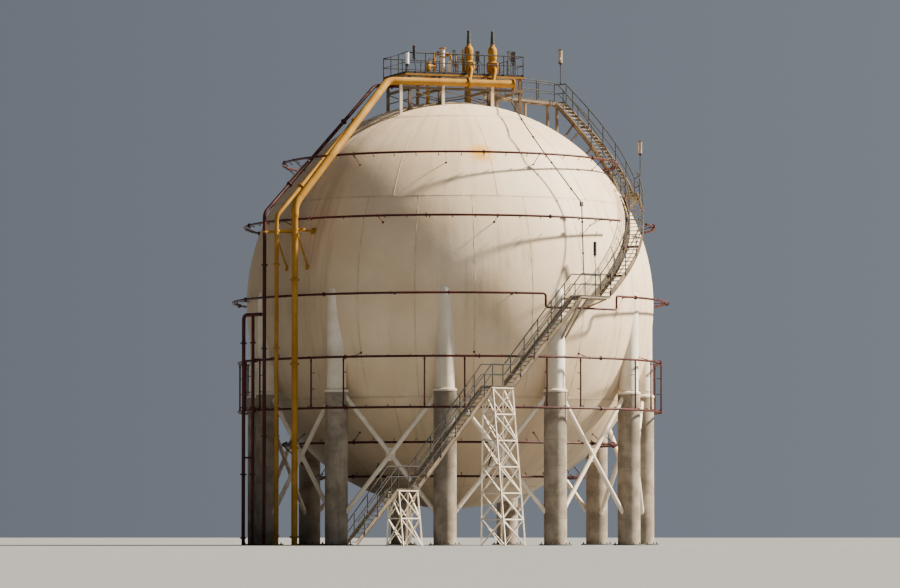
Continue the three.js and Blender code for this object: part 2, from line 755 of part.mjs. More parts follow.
function handrail(path, posts) {
  const top = RAIL_HEIGHT - RAIL_SIZE / 2;
  return join(
    strip(raised(path, top), RAIL_SIZE, RAIL_SIZE),
    strip(raised(path, RAIL_HEIGHT / 2), RAIL_SIZE * 0.8, RAIL_SIZE * 0.8),
    posts.map(({ foot, heading }) => {
      const centre = foot.clone().setZ(foot.z + (top + FIT_GAP) / 2);
      return box(centre, RAIL_POST_SIZE, RAIL_POST_SIZE, top - FIT_GAP, heading);
    }),
  );
}

// The stair's rails stand over its two stringers, with the posts cut to the slope they stand on.
const lift = at(0, 0, FIT_GAP);
const windingSeat = [stair.flight1, stair.flight2].map((body) => moved(body, lift));
const straightSeat = [stair.flight3, stair.flight4, stair.flight5].map((body) => moved(body, lift));
const sides = [
  { name: "inner", across: STRINGER_WIDTH / 2 },
  { name: "outer", across: STAIR_WIDTH - STRINGER_WIDTH / 2 },
];
for (const { name, across } of sides) {
  const winding = [
    ...along(flight1, across, 5, { sink: RISER, from: 0.02 }),
    ...along(landing1Run, across, 2).slice(1),
    ...along(flight2, across, 5, { sink: RISER }).slice(1),
  ];
  const last = winding.length - 1;
  winding[last].lerp(winding[last - 1], 0.08);
  const windingPosts = postsAlong(winding, POST_SPACING, { atEnds: false });
  const windingRail = cut(handrail(winding, windingPosts), windingSeat);
  place(`winding_handrail_${name}`, windingRail, finishes.steel);
  const straight = [
    onTangent(LANDING_2.from + 60, TANGENT_DISTANCE + across, LANDING_2.height),
    ...[flight3, flight4, flight5].flatMap((run) => along(run, across, 1, { sink: RISER })),
  ];
  const straightPosts = postsAlong(straight, POST_SPACING, { atEnds: false });
  const straightRail = cut(handrail(straight, straightPosts), straightSeat);
  place(`straight_handrail_${name}`, straightRail, finishes.steel);
}

// Vent pipe: along the front of the roof platform, over the shoulder of the sphere and down to
// the ground.

const ventCorners = [
  onPlatform(2470, HEADER_LINE, HEADER_LEVEL),
  onPlatform(-4050, HEADER_LINE, HEADER_LEVEL - 30),
  at(-5500, -6650, CENTRE_HEIGHT + 7085),
  onRack(0, CENTRE_HEIGHT + 4400),
  onRack(0, 0),
];
const ventPath = rounded(ventCorners, 350);
const ventRadii = (grow) =>
  ventPath.map((point, i) => (i < ventPath.length - 2 ? HEADER_RADIUS : DOWNCOMER_RADIUS) + grow);
place("vent_pipe", pipe(ventPath, ventRadii(0)), finishes.yellow);
const ventClearance = pipe(ventPath, ventRadii(FIT_GAP / Math.cos(Math.PI / PIPE_SIDES)));

// Side pipes: up the rack, straight past the shoulder of the sphere, and level to where each one
// meets the underside of the platform.

const sidePipes = [
  { name: "side_pipe_yellow", run: 1350, radius: 100, turn: 3900, finish: "yellow" },
  { name: "side_pipe_red", run: 2250, radius: 90, turn: 4100, finish: "red" },
];
const sideTops = [
  { left: -3590, right: -1500, line: -600 },
  { left: -3600, right: -2150, line: 890 },
];
const sidePaths = sidePipes.map(({ run, turn }, i) => {
  const { left, right, line } = sideTops[i];
  const corners = [
    onRack(run, 0),
    onRack(run, CENTRE_HEIGHT + turn),
    onPlatform(left, line, SIDE_PIPE_LEVEL),
    onPlatform(right, line, SIDE_PIPE_LEVEL),
    onPlatform(right, line, PLATFORM.level - PLATFORM_DECK - FIT_GAP),
  ];
  return rounded(corners, 250);
});
sidePipes.forEach(({ name, radius, finish }, i) => {
  place(name, pipe(sidePaths[i], radius), finishes[finish]);
});

// Guide that holds the upright pipes off the sphere.

const guideHeight = CENTRE_HEIGHT + GUIDE_LEVEL;
const guideBar = [onRack(-350, guideHeight), onRack(2600, guideHeight)];
const inwardsFromRack = at(-RACK_DIRECTION.y, RACK_DIRECTION.x, 0);
if (inwardsFromRack.dot(onRack(0, 0)) > 0) inwardsFromRack.negate();
const behindPipes = guideBar.map((point) => point.addScaledVector(inwardsFromRack, 300));
const guideArms = [0.2, 0.75].map((share) => {
  const start = behindPipes[0].clone().lerp(behindPipes[1], share);
  const foot = start.clone().setZ(0).setLength(shellLevel(GUIDE_LEVEL) - SHELL_THICKNESS);
  return bar(start, foot.setZ(guideHeight), 110);
});
const guideClamps = [0, ...sidePipes.map(({ run }) => run)].map((run) => {
  const pipePoint = onRack(run, guideHeight);
  return bar(pipePoint, pipePoint.clone().addScaledVector(inwardsFromRack, 300), 120);
});
const pipeGrow = FIT_GAP / Math.cos(Math.PI / PIPE_SIDES);
const sideClearance = sidePaths.map((path, i) => pipe(path, sidePipes[i].radius + pipeGrow));
const outerHalf = (run, reach) =>
  box(
    onRack(run, guideHeight).addScaledVector(inwardsFromRack, -reach / 2),
    reach,
    reach,
    400,
    Math.atan2(RACK_DIRECTION.y, RACK_DIRECTION.x),
  );
const guideBody = cut(
  join(bar(behindPipes[0], behindPipes[1], 120), guideArms, guideClamps),
  shellEnvelope,
  ventClearance,
  sideClearance,
  [0, 1350, 2250].map((run) => outerHalf(run, 500)),
);
place("pipe_guide", guideBody, finishes.yellow);

// Fire water risers beside the rack, joined by links, feeding the spray rings.

const riserTop = CENTRE_HEIGHT - 750;
const risers = join(
  pipe(rounded([onRack(2480, riserTop), onRack(3800, riserTop), onRack(3800, 0)], 250), 90),
  pipe([onRack(3100, riserTop), onRack(3100, 0)], 80),
  bar(onRack(3100, CENTRE_HEIGHT - 2950), onRack(3800, CENTRE_HEIGHT - 2950), 100),
  bar(onRack(3100, 4200), onRack(3800, 4200), 100),
  [LEG_RING.level, hungRing.level].map((level) => {
    const riser = onRack(3100, CENTRE_HEIGHT + level);
    const inwards = at(riser.x, riser.y, 0).setLength(-790);
    return bar(riser, riser.clone().add(inwards), 70);
  }),
);
const awayFromAxis = at(onRack(3100, 0).x, onRack(3100, 0).y, 0).setLength(FIT_GAP);
place("fire_water_risers", cut(risers, sideClearance, moved(legRing, awayFromAxis)), finishes.red);

// Roof platform: a deck on cross frames whose posts stand on the sphere, a row of posts for the
// vent pipe, and a short deck out to the head of the steps.

const deckLevel = PLATFORM.level - PLATFORM_DECK / 2;
const platformTurn = radians(PLATFORM_TURN);
const walkwayTurn = radians(HEAD_BEARING - 90);

function platformDeck(grow = 0) {
  const u = (PLATFORM.left + PLATFORM.right) / 2;
  const v = (PLATFORM.front + PLATFORM.back) / 2;
  const width = PLATFORM.right - PLATFORM.left + grow;
  const depth = PLATFORM.back - PLATFORM.front + grow;
  const reach = STEPS_TOP - 1500;
  const spur = onWalkway(1500 + reach / 2, WALKWAY_WIDTH / 2, deckLevel);
  return join(
    box(onPlatform(u, v, deckLevel), width, depth, PLATFORM_DECK + grow, platformTurn),
    box(spur, reach + grow, WALKWAY_WIDTH + grow, PLATFORM_DECK + grow, walkwayTurn),
  );
}

const postFoot = (u, v) => shellLevel(Math.hypot(u, v)) - 300;
const upright = (u, v, top) =>
  bar(onPlatform(u, v, postFoot(u, v)), onPlatform(u, v, top), POST_SIZE);
const frames = FRAME_LINES.flatMap((u) => [
  bar(onPlatform(u, HEADER_LINE, FRAME_LEVEL), onPlatform(u, FRAME_BACK, FRAME_LEVEL), POST_SIZE),
  upright(u, FRAME_BACK, deckLevel),
  upright(u, PLATFORM.front + 100, deckLevel),
]);
const headerPosts = HEADER_POSTS.map((u) => upright(u, HEADER_LINE, HEADER_LEVEL));
const headerBeam = bar(
  onPlatform(HEADER_POSTS[0], HEADER_LINE, FRAME_LEVEL),
  onPlatform(FRAME_LINES[3], HEADER_LINE, FRAME_LEVEL),
  POST_SIZE,
);
const headerSpace = box(
  onPlatform(-500, HEADER_LINE, HEADER_LEVEL + 190),
  8000,
  2 * HEADER_RADIUS + 200,
  400,
  platformTurn,
);
const valveLines = [...RELIEF_VALVES, VAPOUR_VALVE];
const holeProfile = [
  [0, 9000],
  [125, 9000],
  [125, 12000],
  [0, 12000],
];
const valveHoles = valveLines.map((u) => turned(holeProfile, 8, onPlatform(u, VALVE_LINE, 0)));
const platformBody = cut(
  join(platformDeck(), frames, headerPosts, headerBeam),
  shellEnvelope,
  ventClearance,
  headerSpace,
  valveHoles,
);
place("roof_platform", platformBody, finishes.steel);

// Walkway from the foot of the steps out to the stair head, on posts that stand on the sphere.

const walkwayDeck = strip(
  [WALKWAY_INNER, WALKWAY_OUTER].map((radius) =>
    onWalkway(radius, WALKWAY_WIDTH / 2 + FIT_GAP, HEAD_LEVEL - DECK_THICKNESS / 2),
  ),
  WALKWAY_WIDTH,
  DECK_THICKNESS,
);
const stepRise = (PLATFORM.level - HEAD_LEVEL) / STEP_COUNT;
const stepTreads = Array.from({ length: STEP_COUNT - 1 }, (unused, i) => {
  const radius = WALKWAY_INNER - (i + 0.5) * STEP_GOING;
  const level = HEAD_LEVEL + (i + 1) * stepRise - TREAD_THICKNESS / 2;
  const centre = onWalkway(radius, WALKWAY_WIDTH / 2, level);
  return box(centre, STEP_GOING - 20, WALKWAY_WIDTH - 140, TREAD_THICKNESS, walkwayTurn);
});
const stepStringers = [60, WALKWAY_WIDTH - 60].map((offset) =>
  strip(
    [
      onWalkway(WALKWAY_INNER + 60, offset, HEAD_LEVEL - 100),
      onWalkway(STEPS_TOP + FIT_GAP, offset, PLATFORM.level - stepRise - 45),
    ],
    STRINGER_WIDTH,
    240,
  ),
);
const walkwayPosts = WALKWAY_POSTS.flatMap((radius) =>
  [120, WALKWAY_WIDTH - 120].map((offset) =>
    bar(
      onWalkway(radius, offset, HEAD_LEVEL - DECK_THICKNESS / 2),
      onWalkway(radius, offset, shellLevel(radius) - 400),
      POST_SIZE * 0.8,
    ),
  ),
);
const walkwayBody = join(walkwayDeck, stepTreads, stepStringers, walkwayPosts);
place("roof_walkway", cut(walkwayBody, shellEnvelope, platformDeck(2 * FIT_GAP)), finishes.steel);

const edge = 40;
const walkwayRails = [
  {
    name: "back",
    path: [
      onWalkway(WALKWAY_INNER + 200, WALKWAY_WIDTH - edge, HEAD_LEVEL),
      onWalkway(WALKWAY_OUTER - edge, WALKWAY_WIDTH - edge, HEAD_LEVEL),
      onWalkway(WALKWAY_OUTER - edge, edge, HEAD_LEVEL),
    ],
  },
  {
    name: "front",
    path: [
      onWalkway(WALKWAY_INNER + 200, edge, HEAD_LEVEL),
      onWalkway(HEAD_RADIUS - 2 * edge, edge, HEAD_LEVEL),
    ],
  },
];
for (const { name, path } of walkwayRails) {
  place(`walkway_handrail_${name}`, handrail(path, postsAlong(path, POST_SPACING)), finishes.steel);
}

const platformRail = [
  onWalkway(STEPS_TOP - edge, WALKWAY_WIDTH - edge, PLATFORM.level),
  onWalkway(1549, WALKWAY_WIDTH - edge, PLATFORM.level),
  onPlatform(PLATFORM.left + edge, PLATFORM.back - edge, PLATFORM.level),
  onPlatform(PLATFORM.left + edge, PLATFORM.front + edge, PLATFORM.level),
  onPlatform(PLATFORM.right - edge, PLATFORM.front + edge, PLATFORM.level),
  onPlatform(PLATFORM.right - edge, PLATFORM.back - edge, PLATFORM.level),
  onPlatform(2800, PLATFORM.back - edge, PLATFORM.level),
];
const platformPosts = postsAlong(platformRail, POST_SPACING);
place("platform_handrail", handrail(platformRail, platformPosts), finishes.steel);

// Valves stand on the platform over their pipes from the sphere. Each relief valve has two stacked
// bodies, a thin vent stack and a bent outlet into the vent pipe.

const VALVE_SIDES = 8;
RELIEF_VALVES.forEach((u, i) => {
  const profile = [
    [0, 9000],
    [110, 9000],
    [110, 11290],
    [190, 11290],
    [290, 11480],
    [290, 11880],
    [190, 12000],
    [225, 12060],
    [225, 12540],
    [110, 12700],
    [65, 13450],
    [0, 13450],
  ];
  const body = turned(profile, VALVE_SIDES, onPlatform(u, VALVE_LINE, 0));
  const outletCorners = [
    onPlatform(u, VALVE_LINE, 11580),
    onPlatform(u - 60, VALVE_LINE - 580, 11540),
    onPlatform(u - 280, HEADER_LINE, HEADER_LEVEL),
  ];
  const outlet = pipe(rounded(outletCorners, 150), 100);
  const valve = cut(join(body, outlet), shellEnvelope, ventClearance);
  place(`relief_valve_${i + 1}`, valve, finishes.yellow);
});

const vapourProfile = [
  [0, 9000],
  [90, 9000],
  [90, 11400],
  [190, 11400],
  [190, 11460],
  [120, 11460],
  [120, 11760],
  [190, 11760],
  [190, 11820],
  [0, 11820],
];
const vapourValve = join(
  turned(vapourProfile, VALVE_SIDES, onPlatform(VAPOUR_VALVE, VALVE_LINE, 0)),
  bar(
    onPlatform(VAPOUR_VALVE, VALVE_LINE, 11610),
    onPlatform(VAPOUR_VALVE + 420, VALVE_LINE, 11610),
    60,
  ),
);
place("vapour_valve", cut(vapourValve, shellEnvelope), finishes.yellow);

// Outlet at the bottom of the sphere.

const outletProfile = [
  [0, 700],
  [330, 700],
  [330, 780],
  [200, 780],
  [200, 2200],
  [0, 2200],
];
place("bottom_outlet", cut(turned(outletProfile, LEG_SIDES), shellEnvelope), finishes.yellow);

// The part's own frame: the middle of its footprint, on the ground.
const footprint = new THREE.Box3().setFromObject(tank, true);
const middle = footprint.getCenter(new THREE.Vector3());
tank.position.set(-middle.x, -middle.y, -footprint.min.z);

const part = new THREE.Group();
part.add(tank);

export default part;
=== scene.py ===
"""Looks of the spherical gas tank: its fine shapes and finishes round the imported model."""

import json
import logging
import math
from dataclasses import dataclass, field
from enum import Enum
from functools import reduce
from typing import Any, Callable, Iterable, Optional, Sequence

import bmesh
import bpy
from mathutils import Matrix, Vector


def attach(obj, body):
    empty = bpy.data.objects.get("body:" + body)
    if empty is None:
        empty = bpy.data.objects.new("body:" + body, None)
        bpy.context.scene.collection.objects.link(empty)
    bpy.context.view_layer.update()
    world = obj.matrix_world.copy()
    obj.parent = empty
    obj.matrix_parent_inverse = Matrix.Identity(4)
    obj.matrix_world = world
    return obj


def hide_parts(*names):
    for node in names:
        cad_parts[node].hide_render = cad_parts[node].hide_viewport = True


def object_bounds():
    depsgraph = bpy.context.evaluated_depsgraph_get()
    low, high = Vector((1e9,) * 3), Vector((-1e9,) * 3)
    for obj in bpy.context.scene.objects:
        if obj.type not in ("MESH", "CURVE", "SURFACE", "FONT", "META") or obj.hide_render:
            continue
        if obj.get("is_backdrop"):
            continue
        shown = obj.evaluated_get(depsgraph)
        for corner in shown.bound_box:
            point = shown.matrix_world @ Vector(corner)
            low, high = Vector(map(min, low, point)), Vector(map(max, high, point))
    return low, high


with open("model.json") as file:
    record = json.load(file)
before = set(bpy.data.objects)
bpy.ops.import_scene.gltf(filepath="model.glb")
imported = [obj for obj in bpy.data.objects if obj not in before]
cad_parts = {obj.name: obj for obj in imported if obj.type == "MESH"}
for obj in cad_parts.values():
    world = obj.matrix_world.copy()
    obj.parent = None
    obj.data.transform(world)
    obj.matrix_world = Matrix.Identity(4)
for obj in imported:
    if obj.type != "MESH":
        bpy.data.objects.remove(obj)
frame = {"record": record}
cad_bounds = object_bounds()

log = logging.getLogger("tank")

UP = Vector((0.0, 0.0, 1.0))
CENTRE_HEIGHT = 11.8
TANK_RADIUS = 10.0
LEG_COUNT = 11
LEG_CIRCLE = 9.6
JACKET_RADIUS = 0.545
FIRST_LEG_BEARING = -1.4
BAY = 360.0 / LEG_COUNT
CREASE = math.radians(34.0)
FULL_TURN = 2.0 * math.pi
SUNK = 0.02

Outline = Sequence[tuple[float, float]]
Colour = tuple[float, float, float]
Grid = Callable[[float, float, float], Vector]


# Places on and round the tank


def shell_level(radius: float) -> float:
    """The level of the sphere's skin above its centre, a radius out from the axis."""
    return math.sqrt(max(TANK_RADIUS**2 - radius**2, 0.0))


def mix(low: float, high: float, share: float) -> float:
    """The value a share of the way from low to high."""
    return low + (high - low) * share


def flat(direction: Vector) -> Vector:
    """The level direction under or over this one."""
    return Vector((direction.x, direction.y, 0.0)).normalized()


@dataclass(frozen=True)
class Site:
    """Where the tank stands, with the grids that its pieces are set out on."""

    x: float
    y: float
    tangent_bearing: float = 42.0
    platform_turn: float = 20.0
    head_bearing: float = 139.0
    rack_start: tuple[float, float] = (-7.37, -8.1)
    rack_direction: tuple[float, float] = (-0.6702, 0.7422)

    def _at(self, x: float, y: float, height: float) -> Vector:
        """A point at an offset from the tank's axis."""
        return Vector((self.x + x, self.y + y, height))

    def outwards(self, bearing: float) -> Vector:
        """The level direction out from the tank's axis at a bearing in degrees."""
        turn = math.radians(bearing)
        return Vector((math.sin(turn), -math.cos(turn), 0.0))

    def polar(self, bearing: float, radius: float, height: float) -> Vector:
        """A point at a bearing round the tank, a radius out, at a height."""
        turn = math.radians(bearing)
        return self._at(radius * math.sin(turn), -radius * math.cos(turn), height)

    def centre(self) -> Vector:
        """The centre of the sphere."""
        return self._at(0.0, 0.0, CENTRE_HEIGHT)

    def inwards(self, place: Vector) -> Vector:
        """The direction from a place to the centre of the sphere."""
        return (self.centre() - place).normalized()

    def skin(self, place: Vector, lift: float) -> Vector:
        """The skin's point on a place's bearing, at a lift above the sphere's centre."""
        return self.centre() + flat(place - self.centre()) * shell_level(lift) + UP * lift

    def tangent(self, run: float, distance: float, height: float) -> Vector:
        """A point on the straight stair's grid.

        Args:
            run: Distance along the stair from where it leaves the sphere's side.
            distance: Distance out from the tank's axis.
            height: Height above the ground.

        Returns:
            The point.
        """
        out = self.outwards(self.tangent_bearing)
        along = Vector((out.y, -out.x, 0.0))
        place = out * distance + along * run
        return self._at(place.x, place.y, height)

    def platform(self, u: float, v: float, level: float) -> Vector:
        """A point on the roof platform's grid.

        Args:
            u: Distance to the right of the axis.
            v: Distance behind it.
            level: Level above the sphere's centre.

        Returns:
            The point.
        """
        turn = math.radians(self.platform_turn)
        x = u * math.cos(turn) - v * math.sin(turn)
        y = u * math.sin(turn) + v * math.cos(turn)
        return self._at(x, y, CENTRE_HEIGHT + level)

    def walkway(self, radius: float, offset: float, level: float) -> Vector:
        """A point on the walkway.

        Args:
            radius: Distance out from the axis.
            offset: Distance from its right side.
            level: Level above the sphere's centre.

        Returns:
            The point.
        """
        turn = math.radians(self.head_bearing)
        side = Vector((math.cos(turn), math.sin(turn), 0.0))
        return self.polar(self.head_bearing, radius, CENTRE_HEIGHT + level) + side * offset

    def rack(self, run: float, height: float, inwards: float = 0.0) -> Vector:
        """A point on the line of the upright pipes.

        Args:
            run: Distance along the line from the vent pipe.
            height: Height above the ground.
            inwards: Distance from the line towards the tank.

        Returns:
            The point.
        """
        along = Vector((*self.rack_direction, 0.0))
        inward = Vector((along.y, -along.x, 0.0))
        place = Vector((*self.rack_start, 0.0)) + along * run + inward * inwards
        return self._at(place.x, place.y, height)


# Finishes


class Slot(Enum):
    """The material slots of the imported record."""

    SHELL = "shell_paint"
    WHITE = "white_paint"
    RED = "red_paint"
    YELLOW = "yellow_paint"
    STEEL = "galvanised"


class Value:
    """A number, vector or colour that a material works out, with arithmetic on it."""

    def __init__(self, bench: "NodeBench", socket: bpy.types.NodeSocket) -> None:
        """Wraps an output.

        Args:
            bench: The bench that its node stands on.
            socket: The node's output.
        """
        self.bench = bench
        self.socket = socket

    def __add__(self, other: Any) -> "Value":
        """The sum."""
        return self.bench.math("ADD", self, other)

    def __sub__(self, other: Any) -> "Value":
        """The difference."""
        return self.bench.math("SUBTRACT", self, other)

    def __rsub__(self, other: Any) -> "Value":
        """A number less this one."""
        return self.bench.math("SUBTRACT", other, self)

    def __mul__(self, other: Any) -> "Value":
        """The product."""
        return self.bench.math("MULTIPLY", self, other)

    def __truediv__(self, other: Any) -> "Value":
        """The quotient."""
        return self.bench.math("DIVIDE", self, other)

    def __neg__(self) -> "Value":
        """The same below nought."""
        return self * -1.0

    def __abs__(self) -> "Value":
        """The size without its sign."""
        return self.bench.math("ABSOLUTE", self)

    def __gt__(self, other: Any) -> "Value":
        """1 where it is more, or else 0."""
        return self.bench.math("GREATER_THAN", self, other)

    def __lt__(self, other: Any) -> "Value":
        """1 where it is less, or else 0."""
        return self.bench.math("LESS_THAN", self, other)


class NodeBench:
    """Builds one material's nodes, from its coordinates to its shader."""

    def __init__(self, name: str) -> None:
        """Starts a material with a plain shader.

        Args:
            name: The material's name.
        """
        self.material = bpy.data.materials.new(name)
        self.material.use_nodes = True
        self.tree = self.material.node_tree
        self.shader = self.tree.nodes["Principled BSDF"]
        self.place = self._add("TexCoord", {}, "Object")

    def _set(self, socket: bpy.types.NodeSocket, value: Any) -> None:
        """Links an input, or gives it a plain value.

        Args:
            socket: The input.
            value: What it takes.
        """
        if isinstance(value, Value):
            self.tree.links.new(value.socket, socket)
        elif isinstance(value, tuple) and socket.type == "RGBA":
            socket.default_value = (*value, 1.0)
        else:
            socket.default_value = value

    def _add(self, kind: str, inputs: dict[Any, Any], output: Any = 0, **choices: str) -> Value:
        """Adds a node.

        Args:
            kind: The end of the node type's name.
            inputs: What each input takes, by its name or number.
            output: Name or number of the output that counts.
            choices: The node's own settings, such as its operation.

        Returns:
            That output.
        """
        node = self.tree.nodes.new(f"ShaderNode{kind}")
        for name, choice in choices.items():
            setattr(node, name, choice)
        for key, value in inputs.items():
            self._set(node.inputs[key], value)
        return Value(self, node.outputs[output])

    def math(self, operation: str, *values: Any) -> Value:
        """One piece of arithmetic."""
        return self._add("Math", dict(enumerate(values)), operation=operation)

    def larger(self, one: Any, other: Any) -> Value:
        """The larger of two numbers."""
        return self.math("MAXIMUM", one, other)

    def vector(self, operation: str, output: str, *values: Any) -> Value:
        """One piece of arithmetic on vectors."""
        return self._add("VectorMath", dict(enumerate(values)), output, operation=operation)

    def scaled(self, scale: tuple[float, float, float]) -> Value:
        """Coordinates multiplied along each axis."""
        return self._add("Mapping", {"Vector": self.place, "Scale": scale})

    def centred(self, centre: Vector) -> Value:
        """Coordinates measured from a point."""
        return self._add("Mapping", {"Vector": self.place, "Location": -centre})

    def noise(self, vector: Value, scale: float, detail: float = 3.0, rough: float = 0.55) -> Value:
        """Cloudy noise from 0 to 1."""
        settings = {"Vector": vector, "Scale": scale, "Detail": detail, "Roughness": rough}
        return self._add("TexNoise", settings, "Fac")

    def cells(self, vector: Value, scale: float) -> Value:
        """Random grey cells, as in a zinc coat."""
        return self._add("TexVoronoi", {"Vector": vector, "Scale": scale}, "Color")

    def ramp(self, value: Value, low: float, high: float) -> Value:
        """0 below low, 1 above high, and smooth between them."""
        settings = {"Value": value, "From Min": low, "From Max": high}
        return self._add("MapRange", settings, "Result", interpolation_type="SMOOTHSTEP")

    def blend(self, share: Any, under: Any, over: Any) -> Value:
        """Two colours mixed by a share."""
        return self._add("Mix", {0: share, 6: under, 7: over}, 2, data_type="RGBA")

    def parts(self, vector: Value) -> tuple[Value, ...]:
        """The three numbers of a vector."""
        outputs = self._add("SeparateXYZ", {0: vector}).socket.node.outputs
        return tuple(Value(self, socket) for socket in outputs)

    def joined(self, x: Any, y: Any, z: Any) -> Value:
        """A vector from three numbers."""
        return self._add("CombineXYZ", {0: x, 1: y, 2: z})

    def finish(
        self,
        colour: Value,
        roughness: Any,
        metallic: float = 0.0,
        bump: Optional[Value] = None,
        depth: float = 0.01,
        gloss: float = 0.5,
    ) -> bpy.types.Material:
        """Feeds the shader and hands the material over.

        Args:
            colour: Base colour.
            roughness: Roughness, worked out or plain.
            metallic: How metallic the whole surface is.
            bump: Height of the surface's relief.
            depth: Depth of that relief, in metres.
            gloss: Strength of the plain reflection.

        Returns:
            The finished material.
        """
        settings = {"Base Color": colour, "Roughness": roughness}
        settings |= {"Specular IOR Level": gloss, "Metallic": metallic}
        if bump is not None:
            settings["Normal"] = self._add("Bump", {"Distance": depth, "Height": bump})
        for name, value in settings.items():
            self._set(self.shader.inputs[name], value)
        return self.material


@dataclass(frozen=True)
class ShellPaint:
    """Weathered cream-white paint of the sphere, with dirt that runs down it, rust stains, a darkening towards the
    bottom, and painted shade on its left side.
    """

    centre: tuple[float, float, float]
    name: str = "shell_cream_paint"
    fresh: Colour = (0.74, 0.565, 0.37)
    chalky: Colour = (0.84, 0.685, 0.48)
    # Colour of the dirt streaks and seams, also used for the painted shade on the left side and the darkening towards
    # the bottom.
    dirt: Colour = (0.25, 0.18, 0.12)
    rust: Colour = (0.75, 0.36, 0.02)
    seam_levels: tuple[float, ...] = (-8.949, -4.772, 4.772, 8.949)
    stain_place: tuple[float, float, float] = (1.46, -7.05, 6.95)
    streak_share: float = 0.46
    seam_share: float = 0.34
    ring_rust_share: float = 0.3
    stain_share: float = 0.9
    underside_share: float = 0.35
    # Share of painted shade that darkens the sphere's left side, away from the sun.
    painted_left_shade_share: float = 0.45

    def _runs(self, bench: NodeBench, middle: Value) -> Value:
        """Coordinates that stay the same down each meridian, but for a slow drift with height.

        Args:
            bench: The material's bench.
            middle: Coordinates from the sphere's centre.

        Returns:
            The coordinates.
        """
        x, y, z = bench.parts(middle)
        unit = bench.vector("NORMALIZE", "Vector", bench.joined(x, y, 0.0))
        ux, uy, _ = bench.parts(unit)
        return bench.joined(ux * 10.0, uy * 10.0, z * 0.1)

    def _plate_seams(self, bench: NodeBench, x: Value, y: Value, z: Value) -> Value:
        """Thin upright lines between the plates of the three middle courses.

        Args:
            bench: The material's bench.
            x: Distance to the right of the centre.
            y: Distance behind it.
            z: Level above it.

        Returns:
            1 on a seam, and 0 off it.
        """
        height = abs(z)
        equator, cap = self.seam_levels[2:]
        bearing = bench.math("ARCTAN2", x, -y)
        lines = []
        for plates, first, low, high in ((22, 6.782, -1.0, equator), (11, 14.964, equator, cap)):
            turns = bearing * (plates / FULL_TURN) + (100.5 - first * plates / 360.0)
            gap = abs(bench.math("FRACT", turns) - 0.5) * (FULL_TURN * TANK_RADIUS / plates)
            line = 1.0 - bench.ramp(gap, 0.012, 0.06)
            lines.append(line * ((height > low) * (height < high)))
        return bench.larger(*lines)

    def material(self) -> bpy.types.Material:
        """Makes the finish.

        Returns:
            The material.
        """
        bench = NodeBench(self.name)
        middle = bench.centred(Vector(self.centre))
        x, y, z = bench.parts(middle)
        runs = self._runs(bench, middle)
        clouds = bench.noise(middle, 0.32, 4.0)
        colour = bench.blend(bench.ramp(clouds, 0.35, 0.7), self.fresh, self.chalky)
        streaks = bench.ramp(bench.noise(runs, 1.1, 5.0, 0.7), 0.44, 0.74)
        patches = bench.ramp(bench.noise(middle, 0.2, 3.0), 0.34, 0.62)
        colour = bench.blend(streaks * patches * self.streak_share, colour, self.dirt)
        seams = [1.0 - bench.ramp(abs(z - level), 0.012, 0.09) for level in self.seam_levels]
        seam = reduce(bench.larger, [*seams, self._plate_seams(bench, x, y, z)])
        speckle = bench.ramp(bench.noise(middle, 2.2, 4.0), 0.3, 0.6)
        colour = bench.blend(seam * speckle * self.seam_share, colour, self.dirt)
        below_ring = bench.ramp(z, 4.2, 6.2) * (1.0 - bench.ramp(z, 6.9, 8.2))
        rusty = bench.ramp(bench.noise(runs, 2.6, 4.0, 0.65), 0.6, 0.82)
        colour = bench.blend(rusty * below_ring * self.ring_rust_share, colour, self.rust)
        near = 1.0 - bench.ramp(bench.vector("DISTANCE", "Value", middle, self.stain_place), 0.15, 1.0)
        blotch = near * bench.ramp(bench.noise(middle, 1.6, 5.0), 0.22, 0.46)
        colour = bench.blend(blotch * self.stain_share, colour, self.rust)
        # Darker towards the bottom of the sphere.
        colour = bench.blend(bench.ramp(-z, 2.0, 9.0) * self.underside_share, colour, self.dirt)
        # Painted shade: darker towards the left side, away from the sun, blended towards the dirt colour.
        colour = bench.blend(bench.ramp(-x, 2.5, 9.5) * self.painted_left_shade_share, colour, self.dirt)
        relief = bench.noise(middle, 9.0, 4.0) * 0.25 + bench.noise(middle, 0.5, 2.0)
        return bench.finish(colour, clouds * 0.2 + 0.42, bump=relief, depth=0.02, gloss=0.25)


@dataclass(frozen=True)
class WeatheredPaint:
    """Paint on steel that has faded in patches and runs with dirt or rust."""

    name: str
    fresh: Colour
    faded: Colour
    stain: Colour
    stain_share: float = 0.55
    roughness: float = 0.45

    def material(self) -> bpy.types.Material:
        """Makes the finish.

        Returns:
            The material.
        """
        bench = NodeBench(self.name)
        clouds = bench.noise(bench.place, 1.3, 4.0)
        colour = bench.blend(bench.ramp(clouds, 0.38, 0.66), self.fresh, self.faded)
        drips = bench.noise(bench.scaled((7.0, 7.0, 0.8)), 1.0, 5.0, 0.7)
        spots = bench.ramp(bench.noise(bench.place, 5.5, 5.0, 0.7), 0.62, 0.72)
        marks = bench.larger(bench.ramp(drips, 0.56, 0.78) * 0.8, spots)
        colour = bench.blend(marks * self.stain_share, colour, self.stain)
        relief = bench.noise(bench.place, 24.0, 3.0)
        roughness = clouds * 0.25 + (self.roughness - 0.1)
        return bench.finish(colour, roughness, bump=relief, depth=0.002, gloss=0.25)


